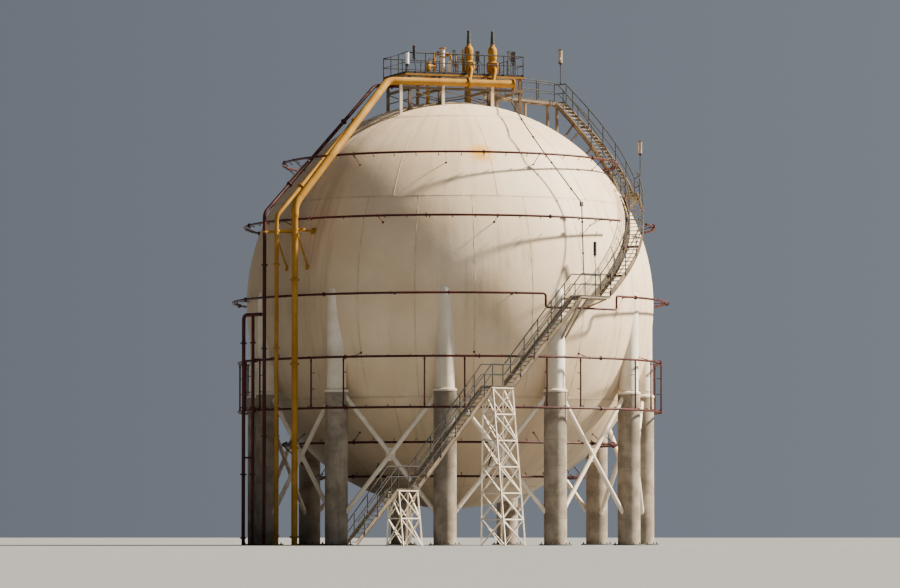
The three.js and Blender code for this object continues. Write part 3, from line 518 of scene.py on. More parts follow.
@dataclass(frozen=True)
class Concrete:
    """Cast fire jacket: grey-brown, cloudy, with pour lines and dark runs."""

    name: str = "jacket_concrete"
    pale: Colour = (0.34, 0.285, 0.22)
    dark: Colour = (0.18, 0.145, 0.105)
    pour_height: float = 1.25
    line_share: float = 0.02

    def material(self) -> bpy.types.Material:
        """Makes the finish.

        Returns:
            The material.
        """
        bench = NodeBench(self.name)
        clouds = bench.noise(bench.place, 1.1, 6.0, 0.62)
        colour = bench.blend(bench.ramp(clouds, 0.36, 0.66), self.pale, self.dark)
        drips = bench.ramp(bench.noise(bench.scaled((5.0, 5.0, 0.45)), 1.0, 5.0, 0.7), 0.5, 0.75)
        colour = bench.blend(drips * 0.6, colour, self.dark)
        _, _, z = bench.parts(bench.place)
        line = bench.math("FRACT", z / self.pour_height) < self.line_share
        colour = bench.blend(line * 0.55, colour, self.dark)
        grain = bench.noise(bench.place, 14.0, 6.0, 0.7)
        return bench.finish(colour, grain * 0.15 + 0.78, bump=grain - line * 0.6, depth=0.006)


@dataclass(frozen=True)
class ZincCoat:
    """Dull galvanised steel with its spangle, dirt and a few rust freckles."""

    name: str = "galvanised_steel"
    light: Colour = (0.40, 0.335, 0.245)
    dull: Colour = (0.22, 0.182, 0.135)
    rust: Colour = (0.17, 0.08, 0.035)
    roughness: float = 0.5
    metallic: float = 0.35

    def material(self) -> bpy.types.Material:
        """Makes the finish.

        Returns:
            The material.
        """
        bench = NodeBench(self.name)
        spangle = bench.cells(bench.place, 28.0)
        clouds = bench.noise(bench.place, 2.0, 4.0)
        colour = bench.blend(bench.ramp(clouds, 0.35, 0.7), self.light, self.dull)
        colour = bench.blend(0.08, colour, spangle)
        freckles = bench.ramp(bench.noise(bench.place, 7.0, 5.0, 0.75), 0.64, 0.74)
        colour = bench.blend(freckles * 0.6, colour, self.rust)
        relief = bench.noise(bench.place, 30.0, 3.0)
        roughness = clouds * 0.25 + (self.roughness - 0.1)
        return bench.finish(colour, roughness, self.metallic, relief, 0.001, 0.15)


@dataclass(frozen=True)
class LampGlass:
    """Frosted cover of a light fitting."""

    name: str = "lamp_glass"
    colour: Colour = (0.78, 0.78, 0.72)
    bright: Colour = (0.9, 0.9, 0.86)

    def material(self) -> bpy.types.Material:
        """Makes the finish.

        Returns:
            The material.
        """
        bench = NodeBench(self.name)
        ribs = bench.noise(bench.scaled((60.0, 60.0, 6.0)), 1.0, 2.0)
        colour = bench.blend(bench.ramp(ribs, 0.3, 0.7), self.colour, self.bright)
        return bench.finish(colour, 0.18, bump=ribs, depth=0.002)


class Paintbox:
    """Holds each finish's material, made once."""

    def __init__(self, site: Site) -> None:
        """Makes all the finishes.

        Args:
            site: Where the tank stands, for patterns that follow the sphere.
        """
        self.shell = ShellPaint(tuple(site.centre())).material()
        self.white = WeatheredPaint(
            "white_paint", (0.74, 0.645, 0.51), (0.82, 0.75, 0.64), (0.32, 0.20, 0.10), 0.45
        ).material()
        self.red = WeatheredPaint(
            "dark_red_paint", (0.04, 0.0065, 0.0065), (0.085, 0.014, 0.013), (0.03, 0.011, 0.007), 0.6
        ).material()
        self.yellow = WeatheredPaint(
            "golden_yellow_paint", (0.33, 0.15, 0.009), (0.40, 0.213, 0.025), (0.12, 0.057, 0.016), 0.6, 0.62
        ).material()
        self.concrete = Concrete().material()
        self.zinc = ZincCoat().material()
        # Brown frame paint is a painted shade: the frames under the deck, the stair stringers and the walkway's beams
        # are shown in the brown of steel in shade.
        self.frame = WeatheredPaint(
            "frame_paint_painted_shade", (0.115, 0.083, 0.055), (0.185, 0.138, 0.094), (0.06, 0.03, 0.015), 0.65, 0.65
        ).material()
        # Rails, conduit and lamp posts: weathered steel made near-black, a painted shade for rails that stand dark
        # against the sky.
        self.rail = ZincCoat(
            "rail_steel_painted_shade", (0.013, 0.012, 0.012), (0.008, 0.007, 0.0065), (0.05, 0.02, 0.009), 0.7, 0.0
        ).material()
        self.dark_steel = ZincCoat(
            "dark_bolt_steel", (0.075, 0.066, 0.056), (0.045, 0.04, 0.034), (0.09, 0.04, 0.02), 0.6, 0.25
        ).material()
        self.stack = ZincCoat(
            "sooty_stack_steel", (0.036, 0.032, 0.027), (0.021, 0.019, 0.016), (0.07, 0.035, 0.018), 0.65, 0.15
        ).material()
        self.lamp = LampGlass().material()


# Mesh building


def basis(origin: Vector, x: Vector, y: Vector, z: Vector) -> Matrix:
    """The matrix that carries local axes to these directions.

    Args:
        origin: Where the local origin goes.
        x: Where the local x axis points.
        y: Where the local y axis points.
        z: Where the local z axis points.

    Returns:
        The matrix.
    """
    matrix = Matrix((x, y, z)).transposed().to_4x4()
    matrix.translation = origin
    return matrix


def perpendicular(direction: Vector) -> Vector:
    """Some level direction square to this one."""
    helper = Vector((1.0, 0.0, 0.0)) if abs(direction.z) > 0.9 else UP
    return helper.cross(direction).normalized()


def square_frame(place: Vector, along: Vector) -> Matrix:
    """A frame at a place whose z axis points along a direction."""
    lead = perpendicular(along)
    return basis(place, lead, along.cross(lead), along)


def ring_ways(axis: Vector, count: int, shift: float = 0.0) -> list[Vector]:
    """Directions spread evenly round an axis.

    Args:
        axis: The axis, one metre long.
        count: How many there are.
        shift: Share of a step that the first is turned by.

    Returns:
        The directions.
    """
    lead = perpendicular(axis)
    side = axis.cross(lead)
    turns = [FULL_TURN * (i + shift) / count for i in range(count)]
    return [lead * math.cos(turn) + side * math.sin(turn) for turn in turns]


def bar_frame(start: Vector, end: Vector, up: Vector) -> Matrix:
    """The frame in the middle of a bar.

    Args:
        start: One end.
        end: The other end, which its x axis points to.
        up: The way that its z axis leans.

    Returns:
        The frame.
    """
    along = (end - start).normalized()
    side = up.cross(along).normalized() if abs(along.dot(up)) < 0.999 else perpendicular(along)
    return basis((start + end) / 2, along, side, along.cross(side))


def turned_frames(points: Sequence[Vector], closed: bool = False) -> list[Matrix]:
    """Square frames along a path, carried round its bends without twist.

    Args:
        points: The path.
        closed: Whether it ends where it starts.

    Returns:
        One matrix a point, with its z axis along the path.
    """
    count = len(points)
    lead = None
    frames = []
    for i, point in enumerate(points):
        before = points[i - 1] if i > 0 or closed else point
        after = points[(i + 1) % count] if i < count - 1 or closed else point
        into = (point - before).normalized() if before is not point else (after - point).normalized()
        out = (after - point).normalized() if after is not point else into
        along = (into + out).normalized()
        lead = perpendicular(along) if lead is None else lead
        lead = (lead - along * lead.dot(along)).normalized()
        matrix = basis(point, lead, along.cross(lead), along)
        bend = out - into
        if bend.length > 1e-4:
            stretch = 1.0 / max(along.dot(out), 0.3)
            shear = Matrix.Scale(stretch, 4, bend.normalized())
            matrix = Matrix.Translation(point) @ shear @ Matrix.Translation(-point) @ matrix
        frames.append(matrix)
    return frames


def upright_frames(points: Sequence[Vector]) -> list[Matrix]:
    """Frames along a path whose y axis stays upright and whose x axis points to its right.

    Args:
        points: The path.

    Returns:
        One matrix a point, mitred at the corners.
    """
    ways = [flat(after - before) for before, after in zip(points, points[1:])]
    frames = []
    for point, into, out in zip(points, [ways[0], *ways], [*ways, ways[-1]]):
        along = (into + out).normalized()
        side = along.cross(UP) / max(along.dot(out), 0.3)
        frames.append(basis(point, side, UP, along))
    return frames


def rounded(points: Sequence[Vector], reach: float, steps: int = 5) -> list[Vector]:
    """A path with each inner corner replaced by a bend.

    Args:
        points: Corners of the path.
        reach: How far from each corner its bend starts.
        steps: Points in each bend.

    Returns:
        The longer path.
    """
    path = [points[0]]
    for before, corner, after in zip(points, points[1:], points[2:]):
        start = corner + (before - corner).normalized() * reach
        end = corner + (after - corner).normalized() * reach
        for i in range(steps + 1):
            t = i / steps
            path.append(start * (1 - t) ** 2 + corner * 2 * t * (1 - t) + end * t**2)
    path.append(points[-1])
    return path


class Shape:
    """A mesh under construction, in metres, whose new faces take the finish in hand."""

    def __init__(self, finish: bpy.types.Material) -> None:
        """Starts an empty mesh.

        Args:
            finish: Material of the first faces.
        """
        self.mesh = bmesh.new()
        self.claimed = self.mesh.faces.layers.int.new("claimed")
        self.finishes = [finish]
        self.current = 0

    def use(self, finish: bpy.types.Material) -> None:
        """Gives the faces made from here on another finish.

        Args:
            finish: The finish.
        """
        self._claim()
        if finish not in self.finishes:
            self.finishes.append(finish)
        self.current = self.finishes.index(finish)

    def _claim(self) -> None:
        """Gives the finish in hand to the faces made since the last call."""
        for face in self.mesh.faces:
            if not face[self.claimed]:
                face.material_index = self.current
                face[self.claimed] = 1

    def box(self, matrix: Matrix, width: float, depth: float, height: float) -> None:
        """A block centred on a frame, sized along its axes."""
        size = Matrix.Diagonal((width, depth, height, 1.0))
        bmesh.ops.create_cube(self.mesh, size=1.0, matrix=matrix @ size)

    def block(self, place: Vector, width: float, depth: float, height: float) -> None:
        """A block centred on a place, square to the world."""
        self.box(Matrix.Translation(place), width, depth, height)

    def pad(self, foot: Vector, inwards: Vector, size: float, thickness: float) -> None:
        """A square plate on the skin."""
        self.box(square_frame(foot, inwards), size, size, thickness)

    def beam(self, start: Vector, end: Vector, width: float, depth: float, up: Vector = UP) -> None:
        """A rectangular bar between two points: width to its sides, depth towards up."""
        self.box(bar_frame(start, end, up), (end - start).length, width, depth)

    def angle_bar(self, start: Vector, end: Vector, size: float, thickness: float, up: Vector = UP) -> None:
        """A rolled angle between two points, as two crossed flats.

        Args:
            start: One end.
            end: The other end.
            size: Width of each flat.
            thickness: Thickness of each flat.
            up: The way that the first flat faces.
        """
        middle, length, half = bar_frame(start, end, up), (end - start).length, (size - thickness) / 2
        self.box(middle @ Matrix.Translation((0.0, 0.0, half)), length, size, thickness)
        self.box(middle @ Matrix.Translation((0.0, half, 0.0)), length, thickness, size)

    def rod(
        self, start: Vector, end: Vector, radius: float, sides: int = 10, end_radius: Optional[float] = None
    ) -> None:
        """A round bar or cone between two points.

        Args:
            start: One end.
            end: The other end.
            radius: Its radius at the start.
            sides: Flats round it.
            end_radius: Its radius at the end, if that differs.
        """
        bmesh.ops.create_cone(
            self.mesh,
            cap_ends=True,
            cap_tris=False,
            segments=sides,
            radius1=radius,
            radius2=radius if end_radius is None else end_radius,
            depth=(end - start).length,
            matrix=square_frame((start + end) / 2, (end - start).normalized()),
        )

    def band(self, place: Vector, along: Vector, half: float, radius: float, sides: int) -> None:
        """A short round bar centred on a place, half of it to each side."""
        self.rod(place - along * half, place + along * half, radius, sides)

    def ball(self, centre: Vector, radius: float, sides: int) -> None:
        """A small ball."""
        at = Matrix.Translation(centre)
        bmesh.ops.create_uvsphere(self.mesh, u_segments=sides, v_segments=sides // 2, radius=radius, matrix=at)

    def nozzle(self, place: Vector, way: Vector, start: float, reach: float) -> None:
        """A spray nozzle.

        Args:
            place: The middle of its pipe.
            way: The way that it points.
            start: Distance from that middle to its start.
            reach: Distance to its mouth.
        """
        tip = place + way * reach
        self.rod(place + way * start, tip, 0.016, 6)
        self.rod(tip - way * 0.02, tip + way * 0.05, 0.018, 8, 0.034)

    def wheel(self, hub: Vector, axis: Vector, radius: float, steps: int, spokes: int, spoke: float) -> None:
        """A hand wheel.

        Args:
            hub: Its middle.
            axis: The way that it faces.
            radius: Radius of its rim.
            steps: Steps round the rim.
            spokes: How many spokes it has.
            spoke: Radius of a spoke.
        """
        self.pipe([hub + way * radius for way in ring_ways(axis, steps)], 0.012, 8, closed=True)
        for way in ring_ways(axis, spokes):
            self.rod(hub, hub + way * radius, spoke, 6)

    def sweep(self, outline: Outline, frames: Sequence[Matrix], closed: bool = False) -> None:
        """Carries a closed outline along frames.

        Args:
            outline: Corners in each frame's x and y.
            frames: Places that the outline passes through.
            closed: Whether the last place joins the first.
        """
        corners = [self.mesh.verts.new(frames[0] @ Vector((x, y, 0.0))) for x, y in outline]
        first = [self.mesh.edges.new(pair) for pair in zip(corners, corners[1:] + corners[:1])]
        edges = first
        for here, there in zip(frames, frames[1:]):
            made = bmesh.ops.extrude_edge_only(self.mesh, edges=edges)["geom"]
            moved = [item for item in made if isinstance(item, bmesh.types.BMVert)]
            edges = [item for item in made if isinstance(item, bmesh.types.BMEdge)]
            edges = [edge for edge in edges if all(vert in moved for vert in edge.verts)]
            bmesh.ops.transform(self.mesh, matrix=there @ here.inverted(), verts=moved)
        if closed:
            bmesh.ops.bridge_loops(self.mesh, edges=first + edges)
        else:
            bmesh.ops.edgeloop_fill(self.mesh, edges=first)
            bmesh.ops.edgeloop_fill(self.mesh, edges=edges)

    def pipe(self, points: Sequence[Vector], radius: float, sides: int = 16, closed: bool = False) -> None:
        """A round pipe along a path.

        Args:
            points: The path.
            radius: The pipe's radius.
            sides: Flats round it.
            closed: Whether it ends where it starts.
        """
        turns = [FULL_TURN * i / sides for i in range(sides)]
        circle = [(radius * math.cos(turn), radius * math.sin(turn)) for turn in turns]
        self.sweep(circle, turned_frames(points, closed), closed)

    def turned(self, profile: Outline, axis: Matrix, steps: int = 32, closed: bool = False) -> None:
        """A turned body about a frame's z axis.

        Args:
            profile: Radius and height pairs, from one end on the axis to the other, or a ring's.
            axis: The frame.
            steps: Steps in the full turn.
            closed: Whether the profile closes on itself clear of the axis.
        """
        corners = [self.mesh.verts.new(axis @ Vector((r, 0.0, z))) for r, z in profile]
        edges = [self.mesh.edges.new(pair) for pair in zip(corners, corners[1:])]
        if closed:
            edges.append(self.mesh.edges.new((corners[-1], corners[0])))
        before = set(self.mesh.verts) - set(corners)
        bmesh.ops.spin(
            self.mesh,
            geom=corners + edges,
            cent=axis.translation,
            axis=axis.to_3x3() @ UP,
            angle=FULL_TURN,
            steps=steps,
            use_merge=True,
            use_duplicate=False,
        )
        if not closed:
            poles = [vert for vert in self.mesh.verts if vert not in before]
            bmesh.ops.remove_doubles(self.mesh, verts=poles, dist=1e-5)

    def flange(self, centre: Vector, direction: Vector, radius: float, thickness: float, bolts: int = 8) -> None:
        """A pair of bolted flanges on a pipe.

        Args:
            centre: The joint's middle.
            direction: The pipe's way through it.
            radius: Radius of the flanges.
            thickness: Thickness of each.
            bolts: How many bolts hold them.
        """
        along = direction.normalized()
        for sign in (-1.0, 1.0):
            start = centre + along * sign * 0.002
            self.rod(start, start + along * sign * thickness, radius, 20)
        for way in ring_ways(along, bolts):
            self.band(centre + way * radius * 0.82, along, thickness * 1.9, radius * 0.07, 6)

    def piece(self, name: str, slot: Slot, replaces: Iterable[str] = ()) -> bpy.types.Object:
        """Turns the mesh into a piece that rides on the tank, with nothing below the ground.

        Args:
            name: The piece's name.
            slot: The record's slot for the piece; not used.
            replaces: Nodes that it stands for.

        Returns:
            The piece's object.
        """
        self._claim()
        for vert in self.mesh.verts:
            vert.co.z = max(vert.co.z, 0.0)
        bmesh.ops.recalc_face_normals(self.mesh, faces=self.mesh.faces[:])
        for face in self.mesh.faces:
            face.smooth = True
        for edge in self.mesh.edges:
            edge.smooth = len(edge.link_faces) == 2 and edge.calc_face_angle(0.0) < CREASE
        data = bpy.data.meshes.new(name)
        self.mesh.to_mesh(data)
        self.mesh.free()
        for finish in self.finishes:
            data.materials.append(finish)
        piece = bpy.data.objects.new(name, data)
        bpy.context.collection.objects.link(piece)
        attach(piece, "root")
        nodes = list(replaces)
        if nodes:
            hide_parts(*nodes)
        log.info("%s: %d faces", name, len(data.polygons))
        return piece


@dataclass
class Part:
    """A sub-assembly, with the ground it stands on and the finishes that it takes."""

    site: Site
    paints: Paintbox


# Shell


@dataclass
class Course:
    """One band of the shell's plates, or one of its caps, between two latitudes."""

    node: str
    low: float
    high: float
    plates: int
    first_seam: float


@dataclass
class Shell(Part):
    """The welded sphere."""

    wall: float = 0.06
    round_steps: int = 132
    degrees_a_step: float = 2.4
    bead: float = 0.009
    bead_steps: int = 12
    last_bead_latitude: float = 80.0
    courses: Sequence[Course] = (
        Course("shell_bottom_cap", -90.0, -63.5, 3, 12.0),
        Course("shell_lower_course", -63.5, -28.5, 11, 14.964),
        Course("shell_equator_course", -28.5, 28.5, 22, 6.782),
        Course("shell_upper_course", 28.5, 63.5, 11, 14.964),
        Course("shell_top_cap", 63.5, 90.0, 3, 12.0),
    )

    def _skin_point(self, bearing: float, latitude: float) -> Vector:
        """A point on the skin."""
        turn = math.radians(latitude)
        return self.site.polar(bearing, TANK_RADIUS * math.cos(turn), CENTRE_HEIGHT + TANK_RADIUS * math.sin(turn))

    def _arc(self, radius: float, low: float, high: float) -> list[tuple[float, float]]:
        """Profile points on one side of the wall.

        Args:
            radius: The side's radius.
            low: Latitude of the first point.
            high: Latitude of the last.

        Returns:
            Radius and height pairs.
        """
        steps = max(int(abs(high - low) / self.degrees_a_step), 2)
        turns = [math.radians(mix(low, high, i / steps)) for i in range(steps + 1)]
        return [(max(radius * math.cos(t), 0.0), radius * math.sin(t)) for t in turns]

    def _build_course(self, course: Course) -> None:
        """Makes one course with the weld seams between its plates and on its upper edge.

        Args:
            course: The course.
        """
        shape = Shape(self.paints.shell)
        outside = self._arc(TANK_RADIUS, course.low, course.high)
        inside = self._arc(TANK_RADIUS - self.wall, course.high, course.low)
        to_top = course.high == 90.0
        profile = inside + outside if to_top else outside + inside
        ring = not to_top and course.low > -90.0
        shape.turned(profile, Matrix.Translation(self.site.centre()), self.round_steps, closed=ring)
        low = max(course.low, -self.last_bead_latitude)
        high = min(course.high, self.last_bead_latitude)
        latitudes = [mix(low, high, i / self.bead_steps) for i in range(self.bead_steps + 1)]
        for k in range(course.plates):
            bearing = course.first_seam + 360.0 / course.plates * k
            shape.pipe([self._skin_point(bearing, latitude) for latitude in latitudes], self.bead, 6)
        if not to_top:
            bearings = [360.0 * i / self.round_steps for i in range(self.round_steps)]
            shape.pipe([self._skin_point(bearing, course.high) for bearing in bearings], self.bead, 6, closed=True)
        shape.piece(course.node.replace("shell_", "plated_"), Slot.SHELL, [course.node])

    def build(self) -> None:
        """Makes all five courses."""
        for course in self.courses:
            self._build_course(course)


@dataclass
class BottomOutlet(Part):
    """Flanged nozzle under the sphere."""

    height: float = 0.70
    bolt_circle: float = 0.275
    rounds: Sequence[tuple[float, float, float]] = (
        (0.08, 1.13, 0.20), (1.04, 1.14, 0.32), (0.62, 0.67, 0.30), (0.0, 0.045, 0.33), (0.05, 0.095, 0.33),
    )

    def build(self) -> None:
        """Makes the outlet."""
        shape = Shape(self.paints.yellow)
        foot = self.site.polar(0.0, 0.0, self.height)
        for low, high, radius in self.rounds:
            shape.rod(foot + UP * low, foot + UP * high, radius, 32)
        shape.use(self.paints.dark_steel)
        for way in ring_ways(UP, 12):
            place = foot + way * self.bolt_circle
            shape.rod(place, place + UP * 0.14, 0.017, 6)
        shape.piece("bottom_nozzle", Slot.YELLOW, ["bottom_outlet"])


# Legs and braces


@dataclass
class Leg(Part):
    """A tubular leg in its concrete jacket, on a bolted base plate."""

    number: int
    jacket_top: float = 7.3
    tube_radius: float = 0.465
    tube_foot: float = 7.0
    tube_top: float = 12.49
    tube_steps: int = 26
    dome: float = 0.575
    plate_radius: float = 0.79
    bolt_circle: float = 0.695
    sides: int = 48

    def _fit_to_sphere(self, shape: Shape) -> None:
        """Draws what would be inside the sphere back to just under its skin.

        Args:
            shape: The leg's mesh.
        """
        centre = self.site.centre()
        for vert in shape.mesh.verts:
            offset = vert.co - centre
            if offset.length < TANK_RADIUS - 0.035:
                reach = math.sqrt((TANK_RADIUS - 0.03) ** 2 - offset.z**2)
                vert.co = centre + flat(offset) * reach + UP * offset.z

    def _tube(self) -> list[tuple[float, float]]:
        """Profile of the tube with its domed end.

        Returns:
            Radius and height pairs.
        """
        shoulder = self.tube_top - self.dome
        heights = [mix(self.tube_foot, shoulder, i / self.tube_steps) for i in range(self.tube_steps + 1)]
        turns = [math.radians(turn) for turn in (12.0, 24.0, 36.0, 48.0, 60.0, 75.0)]
        tube = [(0.0, self.tube_foot), *((self.tube_radius, height) for height in heights)]
        tube += [(self.tube_radius * math.cos(t), shoulder + self.dome * math.sin(t)) for t in turns]
        return [*tube, (0.0, self.tube_top)]

    def build(self) -> None:
        """Makes the leg."""
        shape = Shape(self.paints.white)
        foot = self.site.polar(FIRST_LEG_BEARING + BAY * self.number, LEG_CIRCLE, 0.0)
        base = Matrix.Translation(foot)
        shape.turned(self._tube(), base, self.sides)
        rim, top = JACKET_RADIUS + 0.025, self.jacket_top
        lip = [(0.0, top - 0.03), (rim - 0.008, top - 0.03), (rim, top - 0.02)]
        lip += [(rim, top + 0.06), (rim - 0.06, top + 0.11), (0.0, top + 0.11)]
        shape.turned(lip, base, self.sides)
        self._fit_to_sphere(shape)
        shape.use(self.paints.concrete)
        jacket = [(JACKET_RADIUS, mix(0.055, top - 0.04, i / 6)) for i in range(7)]
        shape.turned([(0.0, 0.055), *jacket, (0.0, top - 0.03)], base, self.sides)
        shape.use(self.paints.dark_steel)
        edge = self.plate_radius
        plate = [(0.0, 0.0), (edge, 0.0), (edge, 0.05), (edge - 0.01, 0.06), (0.0, 0.06)]
        shape.turned(plate, base, self.sides)
        for way in ring_ways(UP, 12, 0.5):
            place = foot + way * self.bolt_circle + UP * 0.05
            shape.rod(place, place + UP * 0.05, 0.035, 6)
            shape.rod(place, place + UP * 0.1, 0.018, 8)
        shape.piece(f"tubular_leg_{self.number + 1:02d}", Slot.WHITE, [f"leg_{self.number + 1:02d}"])


@dataclass
class CrossBrace(Part):
    """Two tubes that cross in a bay between legs, with a plate where they meet."""

    number: int
    high: float = 7.62
    low: float = 1.0
    radius: float = 0.108
    start_gap: float = 0.25
    collar_gap: float = 0.12
    plate: tuple[float, float, float] = (0.46, 0.62, 0.03)

    def build(self) -> None:
        """Makes the brace."""
        shape = Shape(self.paints.white)
        near, far = (FIRST_LEG_BEARING + BAY * (self.number + i) for i in (0, 1))
        for first, last in ((self.high, self.low), (self.low, self.high)):
            start = self.site.polar(near, LEG_CIRCLE, first)
            end = self.site.polar(far, LEG_CIRCLE, last)
            along = (end - start).normalized()
            slant = math.hypot(along.x, along.y)
            inset = along * self.start_gap / slant
            shape.rod(start + inset, end - inset, self.radius, 24)
            for place, way in ((start, along), (end, -along)):
                collar = place + way * (JACKET_RADIUS + self.collar_gap) / slant
                shape.rod(collar, collar + way * 0.05, self.radius + 0.018, 24)
        left, right = (self.site.polar(turn, LEG_CIRCLE, (self.high + self.low) / 2) for turn in (near, far))
        across = (right - left).normalized()
        shape.box(basis((left + right) / 2, across, UP, across.cross(UP)), *self.plate)
        shape.piece(f"tube_brace_{self.number + 1:02d}", Slot.WHITE, [f"cross_brace_{self.number + 1:02d}"])


# Spray rings


@dataclass
class SprayRing:
    """A ring pipe round the sphere, or part of one, with hangers, nozzles and couplings."""

    site: Site
    radius: float
    level: float
    start: float = 0.0
    end: float = 360.0
    hanger_bearings: Sequence[float] = field(default_factory=list)
    pipe_radius: float = 0.055
    degrees_a_step: float = 2.5
    nozzle_spacing: float = 1.1
    nozzle_reach: float = 0.13
    coupling_spacing: float = 6.0

    def point(self, bearing: float) -> Vector:
        """A point on the ring's centre line."""
        return self.site.polar(bearing, self.radius, CENTRE_HEIGHT + self.level)

    def path(self) -> list[Vector]:
        """The ring's centre line.

        Returns:
            Its points; a full ring's first isn't repeated.
        """
        steps = max(int((self.end - self.start) / self.degrees_a_step), 2)
        points = [self.point(mix(self.start, self.end, i / steps)) for i in range(steps + 1)]
        return points[:-1] if self.end - self.start >= 360.0 else points

    def add(self, shape: Shape) -> None:
        """Adds the pipe and what is on it."""
        shape.pipe(self.path(), self.pipe_radius, 12, closed=self.end - self.start >= 360.0)
        self.add_fittings(shape)

    def add_fittings(self, shape: Shape) -> None:
        """Adds nozzles, hangers and couplings along the pipe.

        Args:
            shape: The mesh that they join.
        """
        span = self.end - self.start
        length = math.radians(span) * self.radius
        nozzles, couplings = int(length / self.nozzle_spacing), int(length / self.coupling_spacing)
        for i in range(nozzles):
            place = self.point(self.start + span * (i + 0.5) / nozzles)
            way = self.site.inwards(place)
            shape.nozzle(place, way, self.pipe_radius * 0.8, self.pipe_radius + self.nozzle_reach)
        for i in range(couplings):
            bearing = self.start + span * (i + 0.25) / couplings
            along = self.site.outwards(bearing + 90.0)
            place = self.point(bearing)
            for sign in (-1.0, 1.0):
                shape.rod(place, place + along * sign * 0.028, self.pipe_radius * 1.85, 16)
        for bearing in self.hanger_bearings:
            self._add_hanger(shape, bearing)

    def _add_hanger(self, shape: Shape, bearing: float) -> None:
        """Adds a flat bar from the shell with a clip round the pipe.

        Args:
            shape: The mesh that it joins.
            bearing: Its bearing round the tank.
        """
        place = self.point(bearing)
        inwards = self.site.inwards(place)
        along = self.site.outwards(bearing + 90.0)
        foot = self.site.centre() - inwards * (TANK_RADIUS - 0.01)
        shape.beam(place, foot, 0.016, 0.036, up=inwards.cross(along))
        shape.pad(foot, inwards, 0.1, 0.03)
        shape.pipe([place - along * 0.03, place + along * 0.03], self.pipe_radius + 0.012, 12)


def bay_bearings(first: float) -> list[float]:
    """Bearings a bay apart, all round the tank."""
    return [first + BAY * i for i in range(LEG_COUNT)]


@dataclass
class SprayRings(Part):
    """All the red rings."""

    dip_from: float = 25.0
    dip_to: float = 48.0
    dip: float = 0.65
    drop_offset: float = 5.2
    middle_radius: float = 10.68
    middle_level: float = 0.07
    link_bays: Sequence[int] = (0, 4, 8)

    def _whole(self, *rings: SprayRing) -> Shape:
        """Starts a mesh with some rings.

        Args:
            rings: The rings.

        Returns:
            The mesh.
        """
        shape = Shape(self.paints.red)
        for ring in rings:
            ring.add(shape)
        return shape

    def _add_drops(self, shape: Shape, high: SprayRing, low: SprayRing) -> None:
        """Adds the upright pipes beside each leg, between the two rings there.

        Args:
            shape: The mesh that they join.
            high: The upper ring.
            low: The lower ring.
        """
        for leg in bay_bearings(FIRST_LEG_BEARING):
            for bearing in (leg - self.drop_offset, leg + self.drop_offset):
                top, foot = high.point(bearing), low.point(bearing)
                shape.rod(top, foot, 0.04, 12)
                for share in (0.06, 0.94):
                    shape.band(top.lerp(foot, share), UP, 0.03, 0.055, 12)
                for share in (0.3, 0.62):
                    shape.nozzle(top.lerp(foot, share), -self.site.outwards(bearing), 0.0, 0.17)

    def _middle(self) -> None:
        """Makes the ring that dips under the second landing."""
        shape = Shape(self.paints.red)
        step = (360.0 + self.dip_from - self.dip_to) / 21
        hangers = [self.dip_to + step * (2 * i + 0.5) for i in range(LEG_COUNT)]
        radius, level = self.middle_radius, self.middle_level
        ring = SprayRing(self.site, radius, level, self.dip_to, 360.0 + self.dip_from, hangers)
        low = SprayRing(self.site, radius, level - self.dip, 360.0 + self.dip_from, 360.0 + self.dip_to)
        line, dipped = ring.path(), low.path()
        bends = rounded([*line[-2:], *dipped[:2]], 0.14)
        bends_back = rounded([*dipped[-2:], *line[:2]], 0.14)
        path = line[1:-1] + bends[1:-1] + dipped[1:-1] + bends_back[1:-1]
        shape.pipe(path, ring.pipe_radius, 12, closed=True)
        ring.add_fittings(shape)
        low.add_fittings(shape)
        shape.piece("water_ring_middle", Slot.RED, ["spray_ring_middle"])

    def build(self) -> None:
        """Makes every ring."""
        site, first = self.site, FIRST_LEG_BEARING
        at_legs, between = bay_bearings(first), bay_bearings(first + BAY / 4)
        top = SprayRing(site, 8.25, 6.9, hanger_bearings=at_legs)
        self._whole(top).piece("water_ring_top", Slot.RED, ["spray_ring_top"])
        upper = SprayRing(site, 10.11, 3.76, 70.2, 413.8, bay_bearings(70.2 + BAY / 4))
        self._whole(upper).piece("water_ring_upper", Slot.RED, ["spray_ring_upper"])
        self._middle()
        high = SprayRing(site, 10.4, -2.9, first, first + 360.0, between)
        low = SprayRing(site, 10.4, -5.3, first, first + 360.0)
        shape = self._whole(high, low)
        self._add_drops(shape, high, low)
        shape.piece("water_rings_at_legs", Slot.RED, ["spray_rings_at_legs"])
        outer = SprayRing(site, 8.25, -6.9, hanger_bearings=at_legs)
        inner = SprayRing(site, 6.6, -8.5, hanger_bearings=at_legs)
        shape = self._whole(outer, inner)
        for bay in self.link_bays:
            bearing = first + BAY / 2 + BAY * bay
            shape.rod(outer.point(bearing), inner.point(bearing), 0.03, 12)
        shape.piece("water_rings_lower", Slot.RED, ["spray_rings_lower"])


